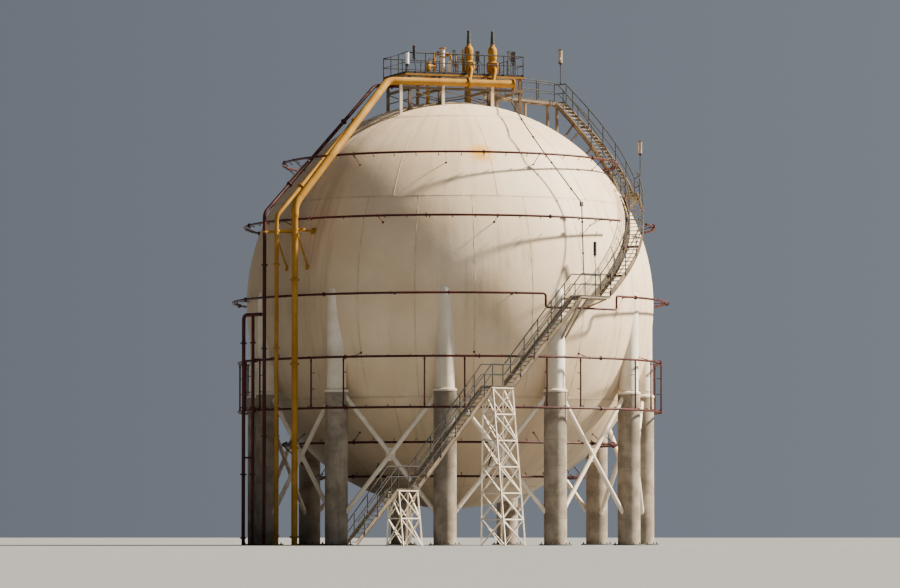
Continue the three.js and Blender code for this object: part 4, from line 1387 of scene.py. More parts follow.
@dataclass
class FireWaterRisers(Part):
    """Two upright red pipes beside the rack, with their links to the rings."""

    top: float = CENTRE_HEIGHT - 0.75
    inner_run: float = 3.1
    outer_run: float = 3.8

    def build(self) -> None:
        """Makes the risers."""
        shape = Shape(self.paints.red)
        rack, inner, outer = self.site.rack, self.inner_run, self.outer_run
        corners = [rack(2.49, self.top), rack(outer, self.top), rack(outer, 0.0)]
        shape.pipe(rounded(corners, 0.25, 6), 0.088, 20)
        shape.pipe([rack(inner, self.top), rack(inner, 0.0)], 0.078, 20)
        for height in (CENTRE_HEIGHT - 2.95, 4.2):
            shape.rod(rack(inner, height), rack(outer, height), 0.045, 14)
        for level in (-2.9, -5.3):
            riser = rack(inner, CENTRE_HEIGHT + level)
            inwards = flat(self.site.centre() - riser)
            shape.rod(riser, riser + inwards * 0.72, 0.035, 12)
            shape.flange(riser + inwards * 0.3, inwards, 0.075, 0.015, 6)
        for run, radius in ((inner, 0.15), (outer, 0.16)):
            for height in (0.35, 3.4, 6.6, 9.7):
                shape.flange(rack(run, height), UP, radius, 0.022)
        shape.piece("water_risers", Slot.RED, ["fire_water_risers"])


# Stair runs


@dataclass(frozen=True)
class Run:
    """A stretch of the stair: a point at a share of its length, across its width."""

    place: Callable[[float, float], Vector]
    drop: float

    def along(
        self, across: float, count: int, lift: float = 0.0, sink: float = 0.0, start: float = 0.0, end: float = 1.0
    ) -> list[Vector]:
        """Evenly spread points beside the run.

        Args:
            across: Distance from its inner edge.
            count: Spaces between the points.
            lift: How far they are over the run.
            sink: How much lower the run's far end gets.
            start: Share of the run where they start.
            end: Share of the run where they end.

        Returns:
            The points.
        """
        shares = [mix(start, end, i / count) for i in range(count + 1)]
        return [self.place(share, across) + UP * (lift - sink * share) for share in shares]


@dataclass
class StairPlan:
    """The line of the whole stair, from the walkway to the ground."""

    site: Site
    width: float = 0.76
    riser: float = 0.2
    head_level: float = 10.6
    head_radius: float = 8.2
    landing_level: float = 5.4
    landing_from: float = 102.0
    landing_to: float = 77.0
    tangent_distance: float = 10.6
    landing_2: tuple[float, float, float] = (0.0, 1.85, CENTRE_HEIGHT)
    landing_3: tuple[float, float, float] = (6.2, 7.6, 7.4)
    landing_4: tuple[float, float, float] = (12.1, 13.4, 2.6)
    foot: float = 15.85

    def clear_radius(self, height: float) -> float:
        """Radius of the stair's inner edge where it winds clear of the sphere.

        Args:
            height: Height above the ground.

        Returns:
            The radius.
        """
        share = (CENTRE_HEIGHT + self.landing_level - height) / self.landing_level
        spare = mix(0.19, self.tangent_distance - TANK_RADIUS, share**2)
        return math.sqrt((TANK_RADIUS + spare) ** 2 - (height - CENTRE_HEIGHT) ** 2)

    def _run(self, first: tuple[float, float], last: tuple[float, float], at: Callable[..., Vector]) -> Run:
        """A run between two pairs of a station and a height.

        Args:
            first: The upper pair.
            last: The lower pair.
            at: Gives the point from a station, a height, a share and a distance across.

        Returns:
            The run.
        """

        def place(share: float, across: float) -> Vector:
            """The point at a share of the run."""
            return at(mix(first[0], last[0], share), mix(first[1], last[1], share), share, across)

        return Run(place, first[1] - last[1])

    def _straight_at(self, run: float, height: float, share: float, across: float) -> Vector:
        """A point on the straight part."""
        return self.site.tangent(run, self.tangent_distance + across, height)

    def flights(self) -> list[Run]:
        """The five flights, from the top.

        Returns:
            Their runs.
        """
        polar, landing = self.site.polar, CENTRE_HEIGHT + self.landing_level
        radius = self.clear_radius(landing)
        first = self._run(
            (self.site.head_bearing, CENTRE_HEIGHT + self.head_level),
            (self.landing_from, landing + self.riser),
            lambda bearing, h, s, across: polar(bearing, mix(self.head_radius, radius, s) + across, h),
        )
        second = self._run(
            (self.landing_to, landing),
            (self.site.tangent_bearing, CENTRE_HEIGHT + self.riser),
            lambda bearing, h, s, across: polar(bearing, self.clear_radius(h) + across, h),
        )
        spots = [self.landing_2, self.landing_3, self.landing_4, (self.foot, self.foot, 0.0)]
        straight = [
            self._run((upper[1], upper[2]), (lower[0], lower[2] + self.riser), self._straight_at)
            for upper, lower in zip(spots, spots[1:])
        ]
        return [first, second, *straight]

    def landings(self) -> list[Run]:
        """The four landings, from the top.

        Returns:
            Their runs.
        """
        polar, height = self.site.polar, CENTRE_HEIGHT + self.landing_level
        radius = self.clear_radius(height)
        first = self._run(
            (self.landing_from, height),
            (self.landing_to, height),
            lambda bearing, h, s, across: polar(bearing, radius + across, h),
        )
        spots = (self.landing_2, self.landing_3, self.landing_4)
        return [first, *(self._run((start, h), (end, h), self._straight_at) for start, end, h in spots)]


class Metalwork:
    """Shared ways to make gratings, channels and rails."""

    CHANNEL: Outline = (
        (-0.025, -0.15), (0.025, -0.15), (0.025, -0.141), (-0.016, -0.141),
        (-0.016, 0.141), (0.025, 0.141), (0.025, 0.15), (-0.025, 0.15),
    )
    TOE_BOARD: Outline = ((-0.004, 0.005), (0.004, 0.005), (0.004, 0.105), (-0.004, 0.105))
    RAIL_HEIGHT = 1.04
    RAIL_RADIUS = 0.03
    MID_RAIL_RADIUS = 0.023
    MID_RAIL_SHARE = 0.52
    POST_RADIUS = 0.026

    @staticmethod
    def channel(shape: Shape, path: Sequence[Vector], facing: float, depth: float) -> None:
        """A rolled channel on edge along a path.

        Args:
            shape: The mesh it joins.
            path: Its line.
            facing: 1 where it opens to the path's right, or else -1.
            depth: Its upright size.
        """
        outline = [(x * facing, y * depth / 0.3) for x, y in Metalwork.CHANNEL]
        shape.sweep(outline if facing > 0 else outline[::-1], upright_frames(path))

    @staticmethod
    def grating(shape: Shape, corner: Vector, across: Vector, along: Vector, pitch: float = 0.045) -> None:
        """A grating panel: bearing bars across and cross bars along.

        Args:
            shape: The mesh it joins.
            corner: Its first top corner.
            across: From that corner over the bars' span.
            along: From that corner over the panel's other side.
            pitch: Spacing of the bearing bars.
        """
        bars, rods = max(int(along.length / pitch), 2), max(int(across.length / 0.2), 2)
        for i in range(bars + 1):
            start = corner + along * (i / bars) - UP * 0.016
            shape.beam(start, start + across, 0.006, 0.032)
        for i in range(rods + 1):
            start = corner + across * (i / rods) - UP * 0.006
            shape.beam(start, start + along, 0.008, 0.01)

    @staticmethod
    def grid_grating(shape: Shape, grid: Grid, x: Outline, y: Outline, level: float, pitch: float = 0.05) -> None:
        """A grating between two stations each way on a grid.

        Args:
            shape: The mesh it joins.
            grid: The grid.
            x: First and last station along the panel.
            y: First and last station over the bars' span.
            level: Its top.
            pitch: Spacing of the bearing bars.
        """
        corner = grid(x[0], y[0], level)
        Metalwork.grating(shape, corner, grid(x[0], y[1], level) - corner, grid(x[1], y[0], level) - corner, pitch)

    @staticmethod
    def handrail(shape: Shape, path: Sequence[Vector], posts: Sequence[Vector], toe: bool = False) -> None:
        """Top rail, middle rail and posts.

        Args:
            shape: The mesh they join.
            path: Line of the posts' feet.
            posts: The feet themselves.
            toe: Whether a toe board runs along the feet.
        """
        height = Metalwork.RAIL_HEIGHT
        top = height - Metalwork.RAIL_RADIUS
        middle = height * Metalwork.MID_RAIL_SHARE
        for lift, radius in ((top, Metalwork.RAIL_RADIUS), (middle, Metalwork.MID_RAIL_RADIUS)):
            shape.pipe([point + UP * lift for point in path], radius, 10)
        for foot in posts:
            shape.rod(foot + UP * 0.001, foot + UP * top, Metalwork.POST_RADIUS, 10)
        if toe:
            shape.sweep(Metalwork.TOE_BOARD, upright_frames(path))

    @staticmethod
    def spread(path: Sequence[Vector], spacing: float, ends: bool = True) -> list[Vector]:
        """Feet of posts along each length of a path.

        Args:
            path: The path.
            spacing: Distance between posts, about.
            ends: Whether they stand at its corners too, or only mid-bay.

        Returns:
            The feet.
        """
        feet = [path[0].copy()] if ends else []
        shift = 1.0 if ends else 0.5
        for start, end in zip(path, path[1:]):
            bays = max(round((end - start).length / spacing), 1)
            feet += [start.lerp(end, (i + shift) / bays) for i in range(bays)]
        return feet


@dataclass
class Stair(Part):
    """Flights, landings and handrails of the stair."""

    plan: StairPlan
    strut_shares: Sequence[float] = (0.2, 0.45, 0.7, 0.93)
    arm_shares: Sequence[float] = (0.22, 0.5, 0.78)

    def _sides(self, inset: float) -> tuple[float, float]:
        """Distances across the stair, an inset from its inner and its outer edge."""
        return inset, self.plan.width - inset

    def _add_edges(self, shape: Shape, run: Run, count: int, depth: float) -> None:
        """Adds channels along both sides of a run.

        Args:
            shape: The mesh that they join.
            run: The run.
            count: Steps along it.
            depth: Their upright size.
        """
        drop = 0.12 if depth == 0.3 else 0.06
        for across, facing in zip(self._sides(0.025), (1.0, -1.0)):
            path = run.along(across, count, lift=-drop, start=0.002, end=0.998)
            Metalwork.channel(shape, path, facing, depth)

    def _add_flight(self, shape: Shape, run: Run, bends: int) -> None:
        """Adds the stringers and grated treads of one flight.

        Args:
            shape: The mesh that they join.
            run: The flight.
            bends: Steps along its stringers.
        """
        self._add_edges(shape, run, bends, 0.3)
        shape.use(self.paints.zinc)
        count = round(run.drop / self.plan.riser)
        for i in range(count):
            height = run.place((i + 1) / count, 0.0).z
            back, front = (i + 0.06) / count, min((i + 1.06) / count, 1.0)
            corners = [run.place(share, across) for share in (back, front) for across in self._sides(0.04)]
            for corner in corners:
                corner.z = height
            self._add_tread(shape, *corners)

    def _add_tread(
        self, shape: Shape, back_in: Vector, back_out: Vector, front_in: Vector, front_out: Vector, bars: int = 6
    ) -> None:
        """Adds a grated tread with a ribbed nosing and end plates.

        Args:
            shape: The mesh that it joins.
            back_in: Its inner back corner.
            back_out: Its outer back corner.
            front_in: Its inner front corner.
            front_out: Its outer front corner.
            bars: How many bearing bars it has.
        """

        def bar(start: Vector, end: Vector, drop: float, width: float, depth: float) -> None:
            """Adds a bar of the tread."""
            shape.beam(start - UP * drop, end - UP * drop, width, depth)

        for share in [(i + 0.2) / bars for i in range(bars)]:
            bar(back_in.lerp(front_in, share), back_out.lerp(front_out, share), 0.016, 0.006, 0.032)
        for share in (0.03, 0.35, 0.65, 0.97):
            bar(back_in.lerp(back_out, share), front_in.lerp(front_out, share), 0.014, 0.006, 0.026)
        bar(back_in.lerp(front_in, 0.95), back_out.lerp(front_out, 0.95), 0.018, 0.032, 0.036)

    def _add_support(self, shape: Shape, top: Vector, foot: Vector) -> None:
        """Adds a strut or an arm from a flight to its pad on the sphere."""
        shape.beam(top, foot + (foot - top).normalized() * SUNK, 0.075, 0.075)
        shape.pad(foot, self.site.inwards(foot), 0.24, 0.03)

    def _flights(self) -> None:
        """Makes all five flights, the upper on struts and the second on level arms."""
        centre = self.site.centre()
        for i, run in enumerate(self.plan.flights()):
            # Stringers and struts take the brown frame paint, a painted shade.
            shape = Shape(self.paints.frame)
            self._add_flight(shape, run, 18 if i < 2 else 1)
            shape.use(self.paints.frame)
            for share in self.strut_shares if i == 0 else ():
                for across in self._sides(0.025):
                    top = run.place(share, across) - UP * 0.21
                    self._add_support(shape, top, centre - self.site.inwards(top) * TANK_RADIUS)
            for share in self.arm_shares if i == 1 else ():
                top = run.place(share, self.plan.width - 0.025) - UP * 0.27
                self._add_support(shape, top, self.site.skin(top, top.z - centre.z))
            shape.piece(f"flight_{i + 1}", Slot.STEEL, [f"stair_flight_{i + 1}"])

    def _add_deck(self, shape: Shape, run: Run, panels: int) -> None:
        """Adds the edge channels, cross bars and grating of a landing.

        Args:
            shape: The mesh that they join.
            run: The landing.
            panels: How many panels its grating has.
        """
        self._add_edges(shape, run, panels, 0.12)
        for i in range(panels + 1):
            share = mix(0.006, 0.994, i / panels)
            inner, outer = (run.place(share, across) - UP * 0.075 for across in self._sides(0.03))
            shape.beam(inner, outer, 0.05, 0.08)
        for i in range(panels):
            low, high = (i + 0.01) / panels, (i + 0.99) / panels
            corner, opposite = (run.place(low, across) for across in self._sides(0.04))
            Metalwork.grating(shape, corner - UP * 0.002, opposite - corner, run.place(high, 0.04) - corner)

    def _landing_1(self, run: Run) -> None:
        """Makes the landing on the sphere's shoulder.

        Args:
            run: The landing.
        """
        shape = Shape(self.paints.zinc)
        self._add_deck(shape, run, 4)
        top = CENTRE_HEIGHT + self.plan.landing_level
        radius = self.plan.clear_radius(top)
        for bearing in (96.0, 83.0):
            outer = self.site.polar(bearing, radius + self.plan.width - 0.08, top - 0.14)
            for drop, size in ((0.0, 0.075), (0.55, 0.07)):
                low = top - 0.14 - drop
                foot = self.site.polar(bearing, shell_level(low - CENTRE_HEIGHT) - SUNK, low)
                shape.beam(outer, foot, size, size)
        shape.piece("landing_1", Slot.STEEL, ["stair_landing_1"])

    def _landing_2(self, run: Run) -> None:
        """Makes the landing beside a leg.

        Args:
            run: The landing.
        """
        shape = Shape(self.paints.zinc)
        self._add_deck(shape, run, 2)
        tangent, height = self.site.tangent, CENTRE_HEIGHT - 0.14
        outer_distance = self.plan.tangent_distance + self.plan.width - 0.08
        supports = ((0.2, 9.97, 9.95, 0.36), (1.42, 9.87, 9.68, 1.9), (1.79, 9.86, 9.86, 1.9))
        for along, reach, low_reach, drop in supports:
            outer = tangent(along, outer_distance, height)
            shape.beam(outer, tangent(along, reach, height), 0.075, 0.075)
            shape.beam(outer, tangent(along, low_reach, height - drop), 0.07, 0.07)
        shape.piece("landing_2", Slot.STEEL, ["stair_landing_2"])

    def _add_trestle(self, shape: Shape, spot: tuple[float, float, float], batter: float, stages: int) -> None:
        """Adds lattice legs with crossed bracing under a landing.

        Args:
            shape: The mesh that they join.
            spot: The landing's start, end and height.
            batter: How far the outer legs' feet stand out.
            stages: Stages of the bracing.
        """
        start, end, height = spot
        top = height - 0.1
        inner_distance = self.plan.tangent_distance + 0.06
        outer_distance = self.plan.tangent_distance + self.plan.width - 0.06

        def corners(level: float) -> list[Vector]:
            """The legs' four places at a level.

            Args:
                level: Height above the ground.

            Returns:
                The places, in order round the trestle.
            """
            inner =inner_distance - 0.13 * (1 - level / height)
            outer = outer_distance + batter * (1 - level / height)
            spots = ((start + 0.06, inner), (start + 0.06, outer), (end - 0.06, outer), (end - 0.06, inner))
            return [self.site.tangent(run, distance, level) for run, distance in spots]

        middle = sum(corners(top), Vector()) / 4
        for foot, head in zip(corners(0.0), corners(top)):
            shape.angle_bar(foot, head, 0.08, 0.012, up=flat(middle - head))
            shape.block(foot + UP * 0.008, 0.2, 0.2, 0.016)
        for stage in range(stages):
            lower, upper = corners(top * stage / stages), corners(top * (stage + 1) / stages)
            for i in range(4):
                j = (i + 1) % 4
                shape.angle_bar(upper[i], upper[j], 0.06, 0.008)
                shape.angle_bar(lower[i], upper[j], 0.05, 0.007)
                shape.angle_bar(lower[j], upper[i], 0.05, 0.007)

    def _standing_landings(self, runs: Sequence[Run]) -> None:
        """Makes the third and fourth landings on their trestles.

        Args:
            runs: The two landings.
        """
        spots = (self.plan.landing_3, self.plan.landing_4)
        for run, spot, batter, stages, number in zip(runs, spots, (0.87, 0.33), (6, 2), (3, 4)):
            shape = Shape(self.paints.zinc)
            self._add_deck(shape, run, 2)
            shape.use(self.paints.white)
            self._add_trestle(shape, spot, batter, stages)
            shape.piece(f"landing_{number}", Slot.WHITE, [f"stair_landing_{number}"])

    def _handrails(self) -> None:
        """Makes the rails of the winding and the straight part."""
        flights, landings = self.plan.flights(), self.plan.landings()
        riser = self.plan.riser
        for side, across in zip(("inner", "outer"), self._sides(0.025)):
            winding = flights[0].along(across, 16, sink=riser, start=0.02)
            winding += landings[0].along(across, 8)[1:]
            winding += flights[1].along(across, 16, sink=riser, end=0.985)[1:]
            # Rail paint: near-black, a painted shade.
            shape = Shape(self.paints.rail)
            Metalwork.handrail(shape, winding, [point - UP * 0.02 for point in winding[1::3]])
            shape.piece(f"winding_rail_{side}", Slot.STEEL, [f"winding_handrail_{side}"])
            straight = [self.site.tangent(0.06, self.plan.tangent_distance + across, CENTRE_HEIGHT)]
            for run in flights[2:]:
                straight += run.along(across, 1, sink=riser)
            straight[-1] = straight[-1].lerp(straight[-2], 0.03)
            shape = Shape(self.paints.rail)
            Metalwork.handrail(shape, straight, Metalwork.spread(straight, 1.25, ends=False))
            shape.piece(f"straight_rail_{side}", Slot.STEEL, [f"straight_handrail_{side}"])

    def build(self) -> None:
        """Makes the whole stair."""
        self._flights()
        runs = self.plan.landings()
        self._landing_1(runs[0])
        self._landing_2(runs[1])
        self._standing_landings(runs[2:])
        self._handrails()


# Roof


@dataclass
class Roof(Part):
    """Platform, walkway and their rails on top of the sphere."""

    left: float = -3.0
    right: float = 3.2
    front: float = -1.9
    back: float = 1.5
    back_posts: float = 1.4
    level: float = 11.2
    frame_level: float = 10.45
    frame_lines: Sequence[float] = (-2.75, -1.2, 1.365, 3.0)
    brace_levels: tuple[float, float] = (9.95, 10.4)
    header_line: float = -2.3
    header_posts: Sequence[float] = (-3.38, -1.2, 1.365)
    walkway_level: float = 10.6
    walkway_width: float = 0.85
    walkway_inner: float = 3.68
    walkway_outer: float = 9.1
    spur_inner: float = 1.6
    steps_top: float = 3.2
    step_count: int = 3
    going: float = 0.24
    edge: float = 0.04

    def _post(self, shape: Shape, foot: Vector, top: Vector, size: float, pad: tuple[float, float], up: Vector) -> None:
        """Adds a square post from the sphere, with a pad at its foot.

        Args:
            shape: The mesh that it joins.
            foot: Its foot.
            top: Its head.
            size: Its width.
            pad: The pad's width and thickness.
            up: The way that one of its sides faces.
        """
        shape.beam(foot, top, size, size, up=up)
        shape.pad(foot, self.site.inwards(foot), *pad)

    def _deck_post(self, shape: Shape, u: float, v: float, top: float) -> None:
        """Adds a post under the platform."""
        foot = self.site.platform(u, v, shell_level(math.hypot(u, v)) - SUNK)
        self._post(shape, foot, self.site.platform(u, v, top), 0.13, (0.36, 0.05), self.site.outwards(-70.0))

    def _add_frames(self, shape: Shape) -> None:
        """Adds the posts, beams and braces under the deck.

        Args:
            shape: The mesh that they join.
        """
        platform, front_posts, level = self.site.platform, self.front + 0.1, self.level
        for u in self.header_posts:
            self._deck_post(shape, u, self.header_line, 10.6)
        # The frames behind the white header posts take the brown frame paint, a painted shade.
        shape.use(self.paints.frame)
        for u in self.frame_lines:
            ends = [platform(u, v, self.frame_level) for v in (self.header_line, self.back_posts)]
            shape.beam(*ends, 0.12, 0.12)
            for v in (self.back_posts, front_posts):
                self._deck_post(shape, u, v, level - 0.07)
            ends = [platform(u, v, level - 0.045) for v in (self.front + 0.04, self.back - 0.04)]
            shape.beam(*ends, 0.1, 0.066)
        spans = (self.header_posts[0], self.frame_lines[-1])
        shape.beam(*(platform(u, self.header_line, self.frame_level) for u in spans), 0.12, 0.12)
        low, high = self.brace_levels
        for first, last in zip(self.frame_lines, self.frame_lines[1:]):
            for v in (front_posts, self.back_posts):
                shape.angle_bar(platform(first, v, low), platform(last, v, high), 0.05, 0.008)
                shape.angle_bar(platform(last, v, low), platform(first, v, high), 0.05, 0.008)

    def _platform(self) -> None:
        """Makes the platform's deck, its frames and the spur to the steps."""
        shape = Shape(self.paints.white)
        platform, walkway, width, level = self.site.platform, self.site.walkway, self.walkway_width, self.level
        self._add_frames(shape)
        shape.use(self.paints.yellow)
        spots = ((self.left, self.front), (self.right, self.front), (self.right, self.back), (self.left, self.back))
        rim = [platform(u, v, level - 0.04) for u, v in spots]
        middle = platform((self.left + self.right) / 2, (self.front + self.back) / 2, level - 0.04)
        for start, end in zip(rim, rim[1:] + rim[:1]):
            inset = (middle - (start + end) / 2).normalized() * 0.02
            shape.beam(start + inset, end + inset, 0.03, 0.078)
        shape.use(self.paints.zinc)
        sides, ends = (self.left + 0.03, self.right - 0.03), (self.front + 0.03, self.back - 0.03)
        Metalwork.grid_grating(shape, platform, sides, ends, level - 0.002)
        spur = (self.spur_inner, self.steps_top)
        Metalwork.grid_grating(shape, walkway, spur, (0.03, width - 0.03), level - 0.003)
        # The spur's edge beams take the brown frame paint, a painted shade.
        shape.use(self.paints.frame)
        for offset in (0.02, width - 0.02):
            shape.beam(*(walkway(r, offset, level - 0.04) for r in (2.0, self.steps_top)), 0.03, 0.078)
        shape.piece("platform_deck", Slot.WHITE, ["roof_platform"])

    def _walkway(self) -> None:
        """Makes the walkway's deck, steps and posts."""
        # Walkway beams and posts take the brown frame paint, a painted shade.
        shape = Shape(self.paints.frame)
        walkway, width, level = self.site.walkway, self.walkway_width, self.walkway_level
        inner, outer = self.walkway_inner, self.walkway_outer
        for offset in (0.03, width - 0.03):
            shape.beam(*(walkway(r, offset, level - 0.06) for r in (inner, outer)), 0.05, 0.12)
        for radius in (inner + 0.03, 5.9, 7.2, 8.4, outer - 0.03):
            shape.beam(*(walkway(radius, offset, level - 0.07) for offset in (0.03, width - 0.03)), 0.08, 0.09)
        for radius in (5.9, 8.4):
            for offset in (0.12, width - 0.12):
                foot = walkway(radius, offset, shell_level(math.hypot(radius, offset)) - SUNK)
                up = self.site.outwards(self.site.head_bearing)
                self._post(shape, foot, walkway(radius, offset, level - 0.1), 0.11, (0.3, 0.04), up)
        for offset in (0.06, width - 0.06):
            low = walkway(inner + 0.05, offset, level - 0.1)
            shape.beam(low, walkway(self.steps_top + 0.01, offset, self.level - 0.25), 0.045, 0.17)
        shape.use(self.paints.zinc)
        rise = (self.level - level) / self.step_count
        for i in range(self.step_count - 1):
            radius = inner - i * self.going
            step = (radius, radius - 0.22)
            Metalwork.grid_grating(shape, walkway, step, (0.08, width - 0.08), level + (i + 1) * rise, 0.04)
        Metalwork.grid_grating(shape, walkway, (inner + 0.02, outer - 0.02), (0.04, width - 0.04), level - 0.002)
        shape.piece("walkway_deck", Slot.WHITE, ["roof_walkway"])

    def _rail(self, name: str, node: str, path: Sequence[Vector], spacing: float) -> None:
        """Makes a handrail with its toe board.

        Args:
            name: The piece's name.
            node: The node that it stands for.
            path: Its line.
            spacing: Distance between its posts, about.
        """
        # Rail paint: near-black, a painted shade.
        shape = Shape(self.paints.rail)
        Metalwork.handrail(shape, path, Metalwork.spread(path, spacing), toe=True)
        shape.piece(name, Slot.STEEL, [node])

    def _rails(self) -> None:
        """Makes the rails of the walkway and the platform."""
        edge, outer, inner = self.edge, self.walkway_outer, self.walkway_inner + 0.2
        far = self.walkway_width - edge
        back = [(inner, far), (outer - edge, far), (outer - edge, edge)]
        for side, spots in (("back", back), ("front", [(inner, edge), (8.12, edge)])):
            path = [self.site.walkway(*spot, self.walkway_level) for spot in spots]
            self._rail(f"walkway_rail_{side}", f"walkway_handrail_{side}", path, 1.3)
        left, right, front, back = self.left + edge, self.right - edge, self.front + edge, self.back - edge
        path = [self.site.walkway(radius, far, self.level) for radius in (self.steps_top - edge, 1.549)]
        spots = ((left, back), (left, front), (right, front), (right, back), (2.8, back))
        path += [self.site.platform(*spot, self.level) for spot in spots]
        self._rail("platform_rail", "platform_handrail", path, 1.1)

    def build(self) -> None:
        """Makes the roof's metalwork."""
        self._platform()
        self._walkway()
        self._rails()


# Pipes and valves


@dataclass
class VentPipe(Part):
    """The yellow pipe from the relief valves down to the ground."""

    header_level: float = 10.78
    header_line: float = -2.3
    header_radius: float = 0.186
    down_radius: float = 0.147
    shoulder: tuple[float, float, float] = (-5.5, -6.65, CENTRE_HEIGHT + 7.085)
    reducer: tuple[float, float] = (CENTRE_HEIGHT + 3.9, CENTRE_HEIGHT + 3.7)

    def build(self) -> None:
        """Makes the pipe."""
        site, radius = self.site, self.header_radius
        shape = Shape(self.paints.yellow)
        start = site.platform(2.47, self.header_line, self.header_level)
        end = site.platform(-4.05, self.header_line, self.header_level - 0.03)
        shoulder = Vector((site.x, site.y, 0.0)) + Vector(self.shoulder)
        top = site.rack(0.0, CENTRE_HEIGHT + 4.4)
        wide, narrow = (site.rack(0.0, height) for height in self.reducer)
        shape.pipe(rounded([start, end, shoulder, top, wide], 0.35, 7), radius, 28)
        shape.rod(wide, narrow, radius, 28, self.down_radius)
        shape.rod(narrow, site.rack(0.0, 0.0), self.down_radius, 28)
        along = (end - start).normalized()
        shape.rod(start - along * 0.03, start + along * 0.02, 0.27, 28)
        shape.flange(start.lerp(end, 0.36), along, 0.27, 0.03, 12)
        lengths = (
            (start, end, (0.12, 0.6, 0.95)), (end, shoulder, (0.15, 0.8)), (shoulder, top, (0.12, 0.85)),
        )
        for first, last, shares in lengths:
            for share in shares:
                shape.band(first.lerp(last, share), (last - first).normalized(), 0.008, radius + 0.006, 28)
        for height in (0.4, 4.6, 8.6, 12.6):
            shape.flange(site.rack(0.0, height), UP, 0.235, 0.026, 12)
        shape.piece("vent_line", Slot.YELLOW, ["vent_pipe"])


@dataclass
class SidePipe(Part):
    """A pipe up the rack and over the sphere to the platform."""

    node: str
    run: float
    radius: float
    turn: float
    left: float
    right: float
    line: float
    finish: bpy.types.Material
    slot: Slot
    level: float = 10.82
    deck_level: float = 11.11

    def build(self) -> None:
        """Makes the pipe: up the rack, over the shoulder and along under the deck."""
        site, shape = self.site, Shape(self.finish)
        foot, turn = (site.rack(self.run, height) for height in (0.0, CENTRE_HEIGHT + self.turn))
        left, right = (site.platform(u, self.line, self.level) for u in (self.left, self.right))
        path = [foot, turn, left, right, site.platform(self.right, self.line, self.deck_level)]
        shape.pipe(rounded(path, 0.25, 6), self.radius * 0.97, 20)
        joints = [(site.rack(self.run, height), UP) for height in (0.45, 5.2, 9.4, 13.4)]
        joints += [(turn.lerp(left, share), left - turn) for share in (0.22, 0.71)]
        for place, way in [*joints, (left.lerp(right, 0.6), right - left)]:
            shape.flange(place, way, self.radius * 1.65, 0.022)
        shape.piece(self.node.replace("side_pipe", "rack_pipe"), self.slot, [self.node])


@dataclass
class PipeGuide(Part):
    """The bracket that holds the upright pipes off the sphere."""

    level: float = 3.2
    brace_drop: float = 1.76
    bar_inset: float = 0.3
    pipes: Outline = ((0.0, 0.15), (1.35, 0.1), (2.25, 0.09))

    def build(self) -> None:
        """Makes the bracket."""
        shape = Shape(self.paints.yellow)
        site, height = self.site, CENTRE_HEIGHT + self.level
        start, end = (site.rack(run, height, self.bar_inset) for run in (-0.35, 2.6))
        shape.beam(start, end, 0.11, 0.11)
        for place in (start.lerp(end, share) for share in (0.2, 0.75)):
            for drop, size in ((0.0, 0.1), (self.brace_drop, 0.07)):
                foot = site.skin(place, self.level - drop)
                shape.beam(place, foot - flat(place - site.centre()) * SUNK, size, size)
                shape.pad(foot, site.inwards(foot), size * 3.0, 0.04)
        for run, radius in self.pipes:
            shape.beam(site.rack(run, height, radius), site.rack(run, height, self.bar_inset), 0.1, 0.1)
            shape.band(site.rack(run, height), UP, 0.04, radius + 0.012, 24)
        shape.piece("rack_guide", Slot.YELLOW, ["pipe_guide"])


@dataclass
class ReliefValve(Part):
    """A spring relief valve with its stack and its outlet into the vent pipe."""

    number: int
    u: float
    line: float = -1.5
    body: Outline = (
        (0.105, 11.22), (0.19, 11.225), (0.19, 11.255), (0.19, 11.26), (0.19, 11.29), (0.15, 11.30),
        (0.185, 11.33), (0.235, 11.38), (0.27, 11.45), (0.285, 11.53), (0.285, 11.83), (0.295, 11.835),
        (0.295, 11.88), (0.24, 11.89), (0.195, 11.94), (0.19, 12.00), (0.205, 12.03), (0.222, 12.08),
        (0.222, 12.48), (0.205, 12.57), (0.165, 12.64), (0.12, 12.68), (0.112, 12.74), (0.106, 12.78), (0.0, 12.78),
    )
    stack: Outline = (
        (0.0, 12.76), (0.103, 12.76), (0.075, 13.36), (0.085, 13.37), (0.085, 13.42), (0.06, 13.445), (0.0, 13.445),
    )
    bolt_circles: Outline = ((11.258, 0.165), (11.858, 0.268))

    def build(self) -> None:
        """Makes the valve."""
        shape = Shape(self.paints.yellow)
        platform, u, line = self.site.platform, self.u, self.line
        base = Matrix.Translation(platform(u, line, 0.0))
        foot = shell_level(math.hypot(u, line)) - SUNK
        shape.turned([(0.0, foot), (0.105, foot), *self.body], base, 32)
        start, knee = platform(u, line, 11.58), platform(u - 0.06, line - 0.58, 11.54)
        shape.pipe(rounded([start, knee, platform(u - 0.28, -2.3, 10.80)], 0.2, 6), 0.095, 20)
        out = knee - start
        shape.flange(start + out.normalized() * 0.36, out, 0.17, 0.02)
        side = platform(u + 1.0, line, 11.58) - start
        shape.rod(start + side * 0.25, start + side * 0.36, 0.085, 16)
        shape.use(self.paints.stack)
        shape.turned(self.stack, base, 32)
        shape.use(self.paints.dark_steel)
        shape.rod(start + side * 0.36, start + side * 0.39, 0.11, 16)
        for level, radius in self.bolt_circles:
            for way in ring_ways(UP, 8, 0.5):
                shape.band(base.translation + way * radius + UP * level, UP, 0.05, 0.013, 6)
        shape.piece(f"relief_set_{self.number}", Slot.YELLOW, [f"relief_valve_{self.number}"])


